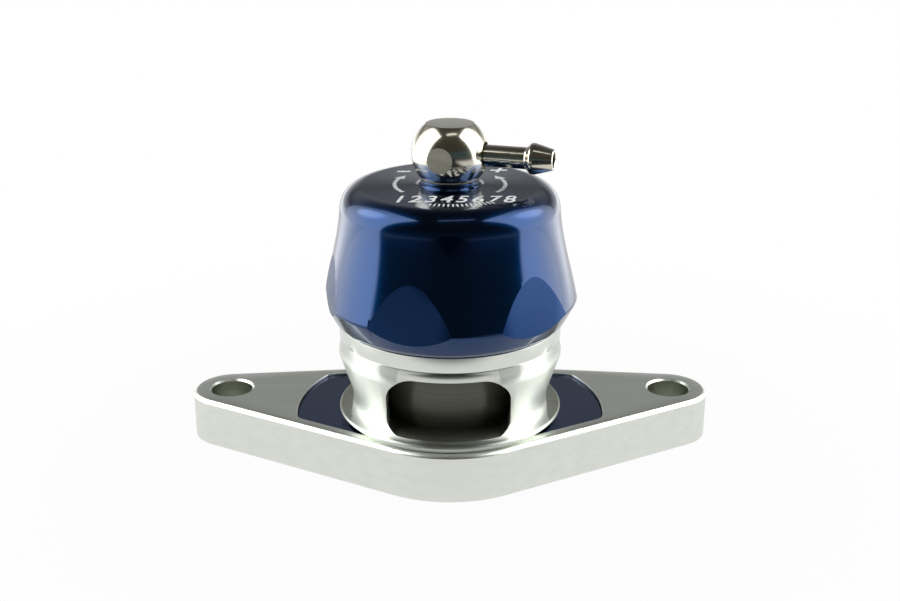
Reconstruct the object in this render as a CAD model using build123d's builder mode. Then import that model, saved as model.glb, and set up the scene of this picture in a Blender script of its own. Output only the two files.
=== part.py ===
"""Blow-off valve on a two-bolt flange, built as the separate pieces it comes apart into.

Millimetres. The origin is on the valve's axis, in the plane of the flange's bottom face. +Z is up
along the valve's axis, +X runs along the flange, and the outlet window faces -Y.
"""
import os
from math import cos, radians, sin, sqrt, tan

from build123d import *

# Clearances between pieces
slip_clearance = 0.05
seat_clearance = 0.02
plate_clearance = 0.1

# Throat, seat ring and the body's turned steps, from the inside out
throat_radius = 12.4
seat_width = 1.9
seat_height = 2.3
seat_face_width = 1.2
seat_drop = 0.9
spigot_wall = 1.5
spigot_gap = 0.2
chamber_ledge = 1.2
waist_wall = 5.0
land_wall = 4.6
thread_step = 0.5

# Valve body's outside
foot_ledge = 3.0
foot_height = 1.8
foot_undercut = 1.2
foot_edge_radius = 0.5
flare_radius = 2.2
sweep_radius = 8.0
sweep_angle = 18.5
shoulder_ledge = 2.8
shoulder_rise = 3.2
shoulder_edge_radius = 0.7
shoulder_corner_radius = 0.35
shoulder_taper = 0.35
relief_depth = 0.1
relief_width = 16.2
cylinder_mouth_chamfer = 0.6
cylinder_spare_length = 1.0

# Flange plate
flange_thickness = 10.5
flange_chamfer = 0.75
bolt_spacing = 96.8
bolt_setback = 10.0
bolt_hole_radius = 4.5
bolt_hole_chamfer = 0.4
ear_wall = 3.85
inlet_step = 0.5
inlet_lip_height = 3.0

# Pocket in the flange's top face, and the clamp plate that lies in it
pocket_reach = 9.1
pocket_wall = 2.8
pocket_corner_radius = 1.2
clamp_plate_thickness = 3.0
clamp_plate_drop = 0.6
clamp_rim_setback = 2.5

# Seal in the flange's bottom face
flange_seal_offset = 3.75
flange_seal_section = 0.95

# Outlet windows, one in front and one behind
window_width = 25.0
window_height = 13.4
window_rise = 2.1
window_top_corner_radius = 5.8
window_foot_corner_radius = 2.5

# Round-section seals and the square grooves that hold them
groove_width_ratio = 2.3
seal_squeeze = 0.05
body_seal_section = 0.8
body_seal_rise = 1.8
nose_seal_section = 0.6

# Piston
head_gap = 0.15
head_overlap = 0.15
skirt_gap = 0.4
skirt_length = 30.0
skirt_chamfer = 0.5
cup_wall = 3.55
cup_depth = 27.0
ring_groove_depth = 0.8
wear_ring_height = 2.0
lower_ring_margin = 1.0
upper_ring_margin = 1.5
seal_ring_height = 2.0
piston_travel = 8.0

# Stop collar
collar_wall = 2.5
collar_height = 3.25
collar_chamfer = 0.15

# Cap
cap_wall = 5.8
cap_foot_setback = 3.1
cap_foot_edge_height = 1.0
cap_bevel_angle = 27.0
cap_girth_rise = 5.2
cap_girth_edge_radius = 2.0
cap_cone_angle = 13.6
cap_crown_angle = 4.5
cap_crown_setback = 3.95
cap_shoulder_radius = 4.8
cap_headroom = 7.5
cap_crown_thickness = 3.3
cap_bore_step = 0.6
cap_thread_runout = 0.25
flat_count = 6
flat_setback = 2.05
flat_level = 11.0
flat_tilt = 5.7
flat_azimuth = 11.5
cap_lift_travel = 3.0

# Main spring and what it pushes on
spring_side_room = 1.2
spring_wire_radius = 1.2
spring_turns = 9.5
thrust_washer_thickness = 1.2
thrust_washer_width = 6.0
spring_seat_side_room = 4.5
spring_seat_thickness = 1.8
spring_pilot_height = 3.0
spring_pilot_room = 0.2
spring_pilot_wall = 2.7

# Seal round the body's upper land
cap_seal_section = 0.9
cap_seal_drop = 1.6
cap_seal_cover = 2.5

# Swivel post through the cap's crown, and the boss that it stands in
post_thread_radius = 4.0
post_journal_step = 0.5
post_bore_radius = 1.6
post_head_ledge = 2.0
post_head_height = 1.4
post_recess_depth = 1.2
post_recess_room = 0.5
post_washer_thickness = 0.6
post_journal_length = 3.5
boss_wall = 1.7
boss_foot_flare = 1.2
boss_height = 1.3
swivel_washer_thickness = 0.4
swivel_seal_section = 0.5
swivel_seal_rise = 1.2
clip_thickness = 0.5
clip_depth = 0.4
clip_rise = 2.55
clip_opening = 40.0

# Ball fitting
ball_radius = 7.76
ball_rise = 4.7
ball_top_rise = 6.1
ball_flat_radius = 2.4
ball_flat_count = 4
ball_bore_depth = 6.6
barb_azimuth = -16.5

# Hose barb
barb_bore_radius = 1.5
barb_shaft_wall = 0.675
barb_land_step = 0.925
barb_tip_wall = 0.55
barb_recess_step = 0.525
barb_recess_depth = 0.7
barb_root_depth = 3.18
barb_clear_length = 8.52
barb_ramp = 0.8
barb_land = 0.9
barb_tip_length = 3.7

# Radii about the valve's axis, each from the piece that it fits
seat_outer_radius = throat_radius + seat_width
spigot_radius = seat_outer_radius + spigot_wall
chamber_radius = seat_outer_radius + chamber_ledge
waist_radius = chamber_radius + waist_wall
relief_distance = waist_radius - relief_depth
foot_radius = waist_radius + foot_ledge
shoulder_radius = waist_radius + shoulder_ledge
shoulder_top_radius = shoulder_radius - shoulder_taper
cylinder_land_radius = chamber_radius + land_wall
cylinder_radius = cylinder_land_radius + thread_step
inlet_radius = throat_radius + inlet_step
spigot_bore_radius = spigot_radius + slip_clearance
flange_seal_radius = inlet_radius + flange_seal_offset
flange_nose_radius = foot_radius
flange_ear_radius = bolt_hole_radius + ear_wall
pocket_radius = foot_radius + pocket_reach
pocket_plate_wall = pocket_wall + plate_clearance
clamp_rim_radius = foot_radius - clamp_rim_setback
head_radius = throat_radius + seat_face_width + head_overlap
skirt_radius = chamber_radius - slip_clearance
cup_radius = skirt_radius - cup_wall
ring_groove_radius = skirt_radius - ring_groove_depth
ring_outer_radius = chamber_radius - seat_clearance
collar_radius = cylinder_radius + collar_wall
cap_girth_radius = cylinder_radius + cap_wall
cap_foot_radius = cap_girth_radius - cap_foot_setback
cap_crown_radius = cap_girth_radius - cap_crown_setback
cap_thread_radius = cylinder_radius + slip_clearance
cap_land_radius = cylinder_land_radius + slip_clearance
cap_bore_radius = cylinder_land_radius - cap_bore_step
flat_distance = cap_girth_radius - flat_setback
spring_radius = cup_radius - spring_side_room - spring_wire_radius
spring_seat_radius = cap_bore_radius - spring_seat_side_room
spring_pilot_radius = spring_radius - spring_wire_radius - spring_pilot_room
post_journal_radius = post_thread_radius - post_journal_step
post_head_radius = post_thread_radius + post_head_ledge
post_recess_radius = post_head_radius + post_recess_room
spring_seat_bore_radius = spring_pilot_radius - spring_pilot_wall
thrust_washer_bore_radius = spring_seat_radius - thrust_washer_width
boss_radius = post_thread_radius + boss_wall
boss_foot_radius = boss_radius + boss_foot_flare
ball_bore_radius = post_journal_radius + slip_clearance
ball_flat_distance = sqrt(ball_radius**2 - ball_flat_radius**2)

# The barb's radii, and its lengths from the ball's centre
barb_shaft_radius = barb_bore_radius + barb_shaft_wall
barb_radius = barb_shaft_radius + barb_land_step
barb_tip_radius = barb_bore_radius + barb_tip_wall
barb_recess_radius = barb_shaft_radius + barb_recess_step
barb_root = ball_flat_distance - barb_root_depth
barb_start = ball_flat_distance + barb_clear_length
barb_reach = barb_start + barb_ramp + barb_land + barb_tip_length

# Levels, all above the flange's bottom face
flange_top = flange_thickness
pocket_floor = flange_top - clamp_plate_drop - clamp_plate_thickness
spigot_bottom = inlet_lip_height + spigot_gap
foot_top = flange_top + foot_height
window_bottom = flange_top + window_rise
window_top = window_bottom + window_height
seat_top = flange_top - seat_drop
seat_bottom = seat_top - seat_height
sweep_bottom = foot_top + flare_radius
sweep_top = sweep_bottom + sweep_radius * sin(radians(sweep_angle))
sweep_top_radius = waist_radius + sweep_radius * (1 - cos(radians(sweep_angle)))
shoulder_bottom = sweep_top + (shoulder_radius - sweep_top_radius) / tan(radians(sweep_angle))
shoulder_top = shoulder_bottom + shoulder_rise + shoulder_edge_radius
collar_top = shoulder_top + collar_height
skirt_bottom = seat_top + skirt_gap
piston_top = skirt_bottom + skirt_length
land_top = piston_top + piston_travel + cylinder_spare_length
thread_top = land_top - cap_lift_travel - cap_seal_cover
cup_floor = piston_top - cup_depth
cap_bottom = collar_top + slip_clearance
cap_girth = cap_bottom + cap_girth_rise
crown_underside = land_top + cap_headroom
cap_top = crown_underside + cap_crown_thickness
boss_top = cap_top + boss_height
thrust_washer_bottom = crown_underside - thrust_washer_thickness
spring_seat_bottom = thrust_washer_bottom - spring_seat_thickness
post_head_top = crown_underside + post_recess_depth - post_washer_thickness
post_top = boss_top + post_journal_length
ball_bottom = boss_top + swivel_washer_thickness
ball_centre = ball_bottom + ball_rise
cap_seal_level = land_top - cap_seal_drop


def cut_ring_groove(seal_radius, section, level):
    """Cut the square groove that an O-ring of this section lies in from the profile being drawn."""
    with Locations((seal_radius, level)):
        Rectangle(2 * section + seal_squeeze, groove_width_ratio * section, mode=Mode.SUBTRACT)


def flange_outline(wall):
    """The flange's kite shape, drawn in from its edge by a wall."""
    with BuildSketch(mode=Mode.PRIVATE) as outline:
        with BuildLine():
            CenterArc((0, 0), flange_nose_radius - wall, 0, 360)
            CenterArc((-bolt_spacing / 2, bolt_setback), flange_ear_radius - wall, 0, 360)
            CenterArc((bolt_spacing / 2, bolt_setback), flange_ear_radius - wall, 0, 360)
        make_hull()
    return outline.sketch


def pocket_outline(wall, corner_radius):
    """The round pocket, clipped where it nears the flange's edges, with its corners rounded."""
    with BuildSketch(mode=Mode.PRIVATE) as pocket:
        Circle(pocket_radius - (wall - pocket_wall))
        add(flange_outline(wall), mode=Mode.INTERSECT)
        corners = [
            corner for corner in pocket.vertices()
            if abs(Vector(*corner).length - pocket_radius + wall - pocket_wall) < seat_clearance
        ]
        fillet(corners, corner_radius)
    return pocket.sketch


# Flange plate
with BuildPart() as flange_plate:
    with BuildSketch():
        add(flange_outline(0))
    extrude(amount=flange_thickness)
    chamfer(flange_plate.faces().sort_by(Axis.Z)[-1].edges(), flange_chamfer)
    with BuildSketch(Plane.XY.offset(pocket_floor)):
        add(pocket_outline(pocket_wall, pocket_corner_radius))
    extrude(amount=flange_thickness, mode=Mode.SUBTRACT)
    with BuildSketch(Plane.XY.offset(inlet_lip_height)):
        Circle(spigot_bore_radius)
    extrude(amount=flange_thickness, mode=Mode.SUBTRACT)
    with BuildSketch():
        Circle(inlet_radius)
        with Locations((-bolt_spacing / 2, bolt_setback), (bolt_spacing / 2, bolt_setback)):
            Circle(bolt_hole_radius)
    extrude(amount=flange_thickness, mode=Mode.SUBTRACT)
    with BuildSketch():
        Circle(flange_seal_radius + flange_seal_section + seal_squeeze)
        Circle(flange_seal_radius - flange_seal_section - seal_squeeze, mode=Mode.SUBTRACT)
    extrude(amount=2 * flange_seal_section + seal_squeeze, mode=Mode.SUBTRACT)
    bolt_edges = [
        edge for edge in flange_plate.edges().filter_by(GeomType.CIRCLE)
        if abs(edge.radius - bolt_hole_radius) < seat_clearance and abs(edge.arc_center.X) > bolt_setback
    ]
    chamfer(bolt_edges, bolt_hole_chamfer)
flange_plate.part.label = "flange_plate"

# Clamp plate: fills the pocket, with a raised rim that the body's foot stands on
with BuildPart() as clamp_plate:
    with BuildSketch(Plane.XY.offset(pocket_floor)):
        add(pocket_outline(pocket_plate_wall, pocket_corner_radius))
    extrude(amount=clamp_plate_thickness)
    with BuildSketch(Plane.XY.offset(pocket_floor)):
        add(pocket_outline(pocket_plate_wall, pocket_corner_radius))
        Circle(clamp_rim_radius, mode=Mode.INTERSECT)
    extrude(amount=clamp_plate_thickness + clamp_plate_drop)
    with BuildSketch(Plane.XY.offset(pocket_floor)):
        Circle(spigot_bore_radius + plate_clearance)
    extrude(amount=flange_thickness, mode=Mode.SUBTRACT)
clamp_plate.part.label = "clamp_plate"

# Valve body: spigot, foot, waisted wall with two windows, shoulder and upper cylinder
with BuildPart() as valve_body:
    with BuildSketch(Plane.XZ):
        with BuildLine():
            Polyline(
                (throat_radius, spigot_bottom),
                (spigot_radius, spigot_bottom),
                (spigot_radius, flange_top),
                (foot_radius - foot_undercut, flange_top),
                (foot_radius, flange_top + foot_undercut),
                (foot_radius, foot_top - foot_edge_radius),
            )
            CenterArc((foot_radius - foot_edge_radius, foot_top - foot_edge_radius), foot_edge_radius, 0, 90)
            Line((foot_radius - foot_edge_radius, foot_top), (waist_radius + flare_radius, foot_top))
            CenterArc((waist_radius + flare_radius, sweep_bottom), flare_radius, 180, 90)
            CenterArc(
                (waist_radius + sweep_radius, sweep_bottom), sweep_radius, 180 - sweep_angle, sweep_angle,
            )
            Polyline(
                (sweep_top_radius, sweep_top),
                (shoulder_radius, shoulder_bottom),
                (shoulder_radius, shoulder_bottom + shoulder_edge_radius),
                (shoulder_top_radius, shoulder_top),
                (cylinder_radius, shoulder_top),
                (cylinder_radius, thread_top),
                (cylinder_land_radius, thread_top),
                (cylinder_land_radius, land_top - cylinder_mouth_chamfer),
                (cylinder_land_radius - cylinder_mouth_chamfer, land_top),
                (chamber_radius, land_top),
                (chamber_radius, seat_top),
                (seat_outer_radius + seat_clearance, seat_top),
                (seat_outer_radius + seat_clearance, seat_bottom),
                (throat_radius, seat_bottom),
                (throat_radius, spigot_bottom),
            )
        make_face()
        cut_ring_groove(spigot_radius - body_seal_section, body_seal_section, spigot_bottom + body_seal_rise)
        cut_ring_groove(cylinder_land_radius - cap_seal_section, cap_seal_section, cap_seal_level)
    revolve(axis=Axis.Z)
    shoulder_edges = [
        edge for edge in valve_body.edges().filter_by(GeomType.CIRCLE)
        if abs(edge.radius - shoulder_radius) < seat_clearance
    ]
    fillet(shoulder_edges, shoulder_corner_radius)
    with BuildSketch(Plane.XY.offset(foot_top)):
        Rectangle(4 * relief_distance, relief_width)
        Rectangle(2 * relief_distance, relief_width, mode=Mode.SUBTRACT)
    extrude(amount=flare_radius, mode=Mode.SUBTRACT)
    with BuildSketch(Plane.XZ) as window:
        with Locations((0, window_bottom)):
            Rectangle(window_width, window_height, align=(Align.CENTER, Align.MIN))
        fillet(window.vertices().group_by(Axis.Y)[0], window_foot_corner_radius)
        fillet(window.vertices().group_by(Axis.Y)[-1], window_top_corner_radius)
    extrude(amount=2 * foot_radius, both=True, mode=Mode.SUBTRACT)
valve_body.part.label = "valve_body"

# Stop collar on the body's thread, which the cap screws down to
with BuildPart() as stop_collar:
    with BuildSketch(Plane.XY.offset(shoulder_top)):
        Circle(collar_radius)
        Circle(cap_thread_radius, mode=Mode.SUBTRACT)
    extrude(amount=collar_height)
    outer_edges = [
        edge for edge in stop_collar.edges().filter_by(GeomType.CIRCLE)
        if abs(edge.radius - collar_radius) < seat_clearance
    ]
    chamfer(outer_edges, collar_chamfer)
stop_collar.part.label = "stop_collar"

# Seat ring: a ring with a 45 degree face that the piston's head closes on
with BuildPart() as valve_seat:
    with BuildSketch(Plane.XZ):
        with BuildLine():
            Polyline(
                (throat_radius, seat_bottom),
                (seat_outer_radius, seat_bottom),
                (seat_outer_radius, seat_top),
                (throat_radius + seat_face_width, seat_top),
                (throat_radius, seat_top - seat_face_width),
                close=True,
            )
        make_face()
    revolve(axis=Axis.Z)
valve_seat.part.label = "valve_seat"

# Piston: a deep cup for the spring, whose plain skirt closes the windows, with a coned nose
head_cone_rise = seat_top - throat_radius - seat_face_width + head_gap
head_bottom = seat_top - 2 * seat_face_width
nose_radius = head_bottom - head_cone_rise
nose_seal_radius = head_radius - seat_face_width - nose_seal_section / sqrt(2)
nose_seal_level = nose_seal_radius + head_cone_rise + nose_seal_section * sqrt(2) - seal_squeeze
lower_ring_bottom = window_top + lower_ring_margin
upper_ring_bottom = piston_top - upper_ring_margin - wear_ring_height
seal_ring_bottom = (lower_ring_bottom + upper_ring_bottom + wear_ring_height - seal_ring_height) / 2

with BuildPart() as piston:
    with BuildSketch(Plane.XZ):
        with BuildLine():
            Polyline(
                (0, head_bottom),
                (nose_radius, head_bottom),
                (head_radius, head_radius + head_cone_rise),
                (head_radius, skirt_bottom),
                (skirt_radius - skirt_chamfer, skirt_bottom),
                (skirt_radius, skirt_bottom + skirt_chamfer),
                (skirt_radius, piston_top - skirt_chamfer),
                (skirt_radius - skirt_chamfer, piston_top),
                (cup_radius, piston_top),
                (cup_radius, cup_floor),
                (0, cup_floor),
                close=True,
            )
        make_face()
        for ring_bottom, ring_height in (
            (lower_ring_bottom, wear_ring_height),
            (seal_ring_bottom, seal_ring_height),
            (upper_ring_bottom, wear_ring_height),
        ):
            with Locations((ring_groove_radius, ring_bottom)):
                Rectangle(
                    2 * ring_groove_depth, ring_height, align=(Align.MIN, Align.MIN), mode=Mode.SUBTRACT,
                )
        with Locations((nose_seal_radius, nose_seal_level)):
            Circle(nose_seal_section + seal_squeeze / 2, mode=Mode.SUBTRACT)
    revolve(axis=Axis.Z)
piston.part.label = "piston"


def skirt_ring(bottom, height):
    """Square-section ring that fills a groove in the piston's skirt and runs in the chamber."""
    with BuildPart(mode=Mode.PRIVATE) as ring:
        with BuildSketch(Plane.XY.offset(bottom + seat_clearance)):
            Circle(ring_outer_radius)
            Circle(ring_groove_radius + seat_clearance, mode=Mode.SUBTRACT)
        extrude(amount=height - 2 * seat_clearance)
    return ring.part


def o_ring(seal_radius, section, level):
    """Round-section seal ring about the valve's axis."""
    with BuildPart(mode=Mode.PRIVATE) as ring:
        with BuildSketch(Plane.XZ):
            with Locations((seal_radius, level)):
                Circle(section)
        revolve(axis=Axis.Z)
    return ring.part


lower_wear_ring = skirt_ring(lower_ring_bottom, wear_ring_height)
lower_wear_ring.label = "lower_wear_ring"
upper_wear_ring = skirt_ring(upper_ring_bottom, wear_ring_height)
upper_wear_ring.label = "upper_wear_ring"
piston_seal = skirt_ring(seal_ring_bottom, seal_ring_height)
piston_seal.label = "piston_seal"
nose_seal = o_ring(nose_seal_radius, nose_seal_section, nose_seal_level)
nose_seal.label = "nose_seal"
flange_seal = o_ring(flange_seal_radius, flange_seal_section, flange_seal_section + seal_squeeze / 2)
flange_seal.label = "flange_seal"
body_o_ring = o_ring(spigot_radius - body_seal_section + seat_clearance, body_seal_section,
                     spigot_bottom + body_seal_rise)
body_o_ring.label = "body_o_ring"
cap_o_ring = o_ring(cylinder_land_radius - cap_seal_section + seat_clearance, cap_seal_section,
                    cap_seal_level)
cap_o_ring.label = "cap_o_ring"

# Cap: outer shape turned, six tilted flats milled round it, bored and threaded inside
cap_bevel_run = (cap_girth_rise - cap_foot_edge_height) * tan(radians(cap_bevel_angle))
cap_cone_top = cap_top - cap_shoulder_radius

with BuildPart() as cap:
    with BuildSketch(Plane.XZ):
        with BuildLine():
            Polyline(
                (0, cap_bottom),
                (cap_foot_radius, cap_bottom),
                (cap_girth_radius - cap_bevel_run, cap_bottom + cap_foot_edge_height),
                (cap_girth_radius, cap_girth),
            )
            Spline(
                (cap_girth_radius, cap_girth),
                (cap_crown_radius, cap_cone_top),
                tangents=(
                    (-sin(radians(cap_cone_angle)), cos(radians(cap_cone_angle))),
                    (-sin(radians(cap_crown_angle)), cos(radians(cap_crown_angle))),
                ),
            )
            CenterArc((cap_crown_radius - cap_shoulder_radius, cap_cone_top), cap_shoulder_radius, 0, 90)
            Polyline(
                (cap_crown_radius - cap_shoulder_radius, cap_top),
                (boss_foot_radius, cap_top),
                (boss_radius, boss_top - boss_height / 2),
                (boss_radius, boss_top),
                (0, boss_top),
                (0, cap_bottom),
            )
        make_face()
    revolve(axis=Axis.Z)
    girth_edges = [
        edge for edge in cap.edges().filter_by(GeomType.CIRCLE)
        if abs(edge.radius - cap_girth_radius) < seat_clearance
    ]
    fillet(girth_edges, cap_girth_edge_radius)
    for index in range(flat_count):
        flat_angle = radians(flat_azimuth + 360 / flat_count * index)
        facing = Plane(
            origin=(0, 0, cap_bottom + flat_level),
            z_dir=(cos(flat_angle), sin(flat_angle), tan(radians(flat_tilt))),
        ).offset(flat_distance * cos(radians(flat_tilt)))
        split(bisect_by=facing, keep=Keep.BOTTOM)
    with BuildSketch(Plane.XY.offset(cap_bottom)):
        Circle(cap_thread_radius)
    extrude(amount=thread_top - cap_bottom + cap_thread_runout, mode=Mode.SUBTRACT)
    with BuildSketch(Plane.XY.offset(cap_bottom)):
        Circle(cap_land_radius)
    extrude(amount=land_top - cap_bottom + plate_clearance, mode=Mode.SUBTRACT)
    with BuildSketch(Plane.XY.offset(cap_bottom)):
        Circle(cap_bore_radius)
    extrude(amount=crown_underside - cap_bottom, mode=Mode.SUBTRACT)
    with BuildSketch(Plane.XY.offset(cap_bottom)):
        Circle(post_recess_radius)
    extrude(amount=crown_underside + post_recess_depth - cap_bottom, mode=Mode.SUBTRACT)
    with BuildSketch(Plane.XY.offset(cap_bottom)):
        Circle(post_thread_radius + seat_clearance)
    extrude(amount=boss_top - cap_bottom, mode=Mode.SUBTRACT)
cap.part.label = "cap"

# Thrust washer between the turning cap and the spring seat
with BuildPart() as thrust_washer:
    with BuildSketch(Plane.XY.offset(thrust_washer_bottom)):
        Circle(spring_seat_radius)
        Circle(thrust_washer_bore_radius, mode=Mode.SUBTRACT)
    extrude(amount=thrust_washer_thickness)
thrust_washer.part.label = "thrust_washer"

# Spring seat with a pilot that centres the spring's top coil
with BuildPart() as spring_seat:
    with BuildSketch(Plane.XY.offset(spring_seat_bottom)):
        Circle(spring_seat_radius)
        Circle(spring_seat_bore_radius, mode=Mode.SUBTRACT)
    extrude(amount=spring_seat_thickness)
    with BuildSketch(Plane.XY.offset(spring_seat_bottom)):
        Circle(spring_pilot_radius)
        Circle(spring_seat_bore_radius, mode=Mode.SUBTRACT)
    extrude(amount=-spring_pilot_height)
spring_seat.part.label = "spring_seat"

# Main spring, from the floor of the piston's cup to the spring seat
spring_height = spring_seat_bottom - cup_floor - 2 * spring_wire_radius
with BuildPart() as main_spring:
    with BuildLine(Plane.XY.offset(cup_floor + spring_wire_radius)) as spring_path:
        Helix(pitch=spring_height / spring_turns, height=spring_height, radius=spring_radius)
    with BuildSketch(Plane(origin=spring_path.line @ 0, z_dir=spring_path.line % 0)):
        Circle(spring_wire_radius - seat_clearance)
    sweep(is_frenet=True)
main_spring.part.label = "main_spring"

# Swivel post: hollow stud with a head inside the cap and a journal that carries the ball
with BuildPart() as swivel_post:
    with BuildSketch(Plane.XZ):
        with BuildLine():
            Polyline(
                (post_bore_radius, post_head_top - post_head_height),
                (post_head_radius, post_head_top - post_head_height),
                (post_head_radius, post_head_top),
                (post_thread_radius, post_head_top),
                (post_thread_radius, boss_top),
                (post_journal_radius, boss_top),
                (post_journal_radius, post_top),
                (post_bore_radius, post_top),
                close=True,
            )
        make_face()
        cut_ring_groove(
            post_journal_radius - swivel_seal_section, swivel_seal_section, boss_top + swivel_seal_rise,
        )
        with Locations((post_journal_radius - clip_depth, boss_top + clip_rise)):
            Rectangle(
                2 * clip_depth, clip_thickness + 2 * seal_squeeze, align=(Align.MIN, Align.CENTER),
                mode=Mode.SUBTRACT,
            )
    revolve(axis=Axis.Z)
swivel_post.part.label = "swivel_post"

with BuildPart() as post_washer:
    with BuildSketch(Plane.XY.offset(post_head_top)):
        Circle(post_head_radius)
        Circle(post_thread_radius + slip_clearance, mode=Mode.SUBTRACT)
    extrude(amount=post_washer_thickness)
post_washer.part.label = "post_washer"

with BuildPart() as swivel_washer:
    with BuildSketch(Plane.XY.offset(boss_top)):
        Circle(boss_radius)
        Circle(post_journal_radius + slip_clearance, mode=Mode.SUBTRACT)
    extrude(amount=swivel_washer_thickness)
swivel_washer.part.label = "swivel_washer"

swivel_o_ring = o_ring(post_journal_radius - swivel_seal_section + seat_clearance, swivel_seal_section,
                       boss_top + swivel_seal_rise)
swivel_o_ring.label = "swivel_o_ring"

# Swivel clip: open ring that stands half in the post's groove and half in the ball's
with BuildPart() as swivel_clip:
    with BuildSketch(Plane.XY.offset(boss_top + clip_rise - clip_thickness / 2)):
        Circle(ball_bore_radius + clip_depth)
        Circle(post_journal_radius - clip_depth + slip_clearance, mode=Mode.SUBTRACT)
        with BuildLine():
            Polyline(
                (0, 0),
                (2 * ball_radius, 2 * ball_radius * tan(radians(clip_opening / 2))),
                (2 * ball_radius, -2 * ball_radius * tan(radians(clip_opening / 2))),
                close=True,
            )
        make_face(mode=Mode.SUBTRACT)
    extrude(amount=clip_thickness)
swivel_clip.part.label = "swivel_clip"

# Ball fitting: a ball with a flat top and foot, round wrench flats and a blind bore for the post
barb_plane = Plane(
    origin=(0, 0, ball_centre),
    x_dir=(0, 0, 1),
    z_dir=(cos(radians(barb_azimuth)), sin(radians(barb_azimuth)), 0),
)

with BuildPart() as ball_fitting:
    with BuildSketch(Plane.XZ):
        with Locations((0, ball_centre)):
            Circle(ball_radius)
        with Locations((0, ball_bottom)):
            Rectangle(
                2 * ball_radius, ball_rise + ball_top_rise, align=(Align.MIN, Align.MIN),
                mode=Mode.INTERSECT,
            )
    revolve(axis=Axis.Z)
    for index in range(ball_flat_count):
        flat_angle = radians(barb_azimuth + 360 / ball_flat_count * index)
        side_plane = Plane(
            origin=(0, 0, ball_centre), z_dir=(cos(flat_angle), sin(flat_angle), 0),
        ).offset(ball_flat_distance)
        split(bisect_by=side_plane, keep=Keep.BOTTOM)
    with BuildSketch(Plane.XY.offset(ball_bottom)):
        Circle(ball_bore_radius)
    extrude(amount=ball_bore_depth, mode=Mode.SUBTRACT)
    with BuildSketch(Plane.XY.offset(boss_top + clip_rise - clip_thickness / 2 - seal_squeeze)):
        Circle(ball_bore_radius + clip_depth + slip_clearance)
    extrude(amount=clip_thickness + 2 * seal_squeeze, mode=Mode.SUBTRACT)
    with BuildSketch(barb_plane):
        Circle(barb_bore_radius)
    extrude(amount=ball_radius, mode=Mode.SUBTRACT)
    with BuildSketch(barb_plane.offset(barb_root)):
        Circle(barb_shaft_radius + seat_clearance)
    extrude(amount=ball_radius, mode=Mode.SUBTRACT)
    with BuildSketch(barb_plane.offset(ball_flat_distance - barb_recess_depth)):
        Circle(barb_recess_radius)
    extrude(amount=ball_radius, mode=Mode.SUBTRACT)
ball_fitting.part.label = "ball_fitting"

# Hose barb, turned about its own axis and pressed into the ball
with BuildPart() as hose_barb:
    with BuildSketch(Plane(barb_plane.origin, x_dir=barb_plane.z_dir, z_dir=barb_plane.y_dir)):
        with BuildLine():
            Polyline(
                (barb_root, barb_bore_radius),
                (barb_root, barb_shaft_radius),
                (barb_start, barb_shaft_radius),
                (barb_start + barb_ramp, barb_radius),
                (barb_start + barb_ramp + barb_land, barb_radius),
                (barb_reach, barb_tip_radius),
                (barb_reach, barb_bore_radius),
                close=True,
            )
        make_face()
    revolve(axis=Axis(barb_plane.origin, barb_plane.z_dir))
hose_barb.part.label = "hose_barb"

pieces = [
    flange_plate.part, clamp_plate.part, flange_seal, valve_body.part, body_o_ring, valve_seat.part,
    stop_collar.part, cap_o_ring, piston.part, nose_seal, piston_seal, lower_wear_ring, upper_wear_ring,
    main_spring.part, spring_seat.part, thrust_washer.part, cap.part, swivel_post.part, post_washer.part,
    swivel_washer.part, swivel_o_ring, swivel_clip.part, ball_fitting.part, hose_barb.part,
]
os.makedirs("parts", exist_ok=True)
for piece in pieces:
    export_step(piece, f"parts/{piece.label}.step")
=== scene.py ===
"""Looks of the blow-off valve: turned and milled meshes with their finishes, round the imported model.

Sizes in this file are millimetres until a mesh is written, which is in metres. The origin is on the
valve's axis in the flange's bottom face, +Z is up and the outlet window faces -Y.
"""
import math

import bmesh
import bpy
from mathutils import Matrix, Quaternion, Vector


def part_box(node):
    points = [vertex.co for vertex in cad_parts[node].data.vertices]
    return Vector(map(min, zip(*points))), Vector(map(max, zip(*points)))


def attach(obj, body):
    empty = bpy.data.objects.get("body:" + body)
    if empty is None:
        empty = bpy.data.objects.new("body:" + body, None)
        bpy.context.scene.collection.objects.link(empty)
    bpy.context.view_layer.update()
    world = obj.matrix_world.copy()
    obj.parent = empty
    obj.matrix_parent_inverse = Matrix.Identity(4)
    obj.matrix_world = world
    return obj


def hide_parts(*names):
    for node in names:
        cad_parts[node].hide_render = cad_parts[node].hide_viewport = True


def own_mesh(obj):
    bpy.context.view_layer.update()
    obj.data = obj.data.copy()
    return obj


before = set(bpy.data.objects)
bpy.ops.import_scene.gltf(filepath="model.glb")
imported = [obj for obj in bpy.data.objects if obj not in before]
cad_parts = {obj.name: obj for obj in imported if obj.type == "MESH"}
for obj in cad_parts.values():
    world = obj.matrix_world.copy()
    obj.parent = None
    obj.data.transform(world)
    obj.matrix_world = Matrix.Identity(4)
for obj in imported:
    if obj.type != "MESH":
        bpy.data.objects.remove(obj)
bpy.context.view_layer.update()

MM = 0.001
TURNED_SEGMENTS = 192


def level(node, end):
    """Lowest (0) or highest (1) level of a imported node, in millimetres."""
    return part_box(node)[end].z / MM


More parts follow.
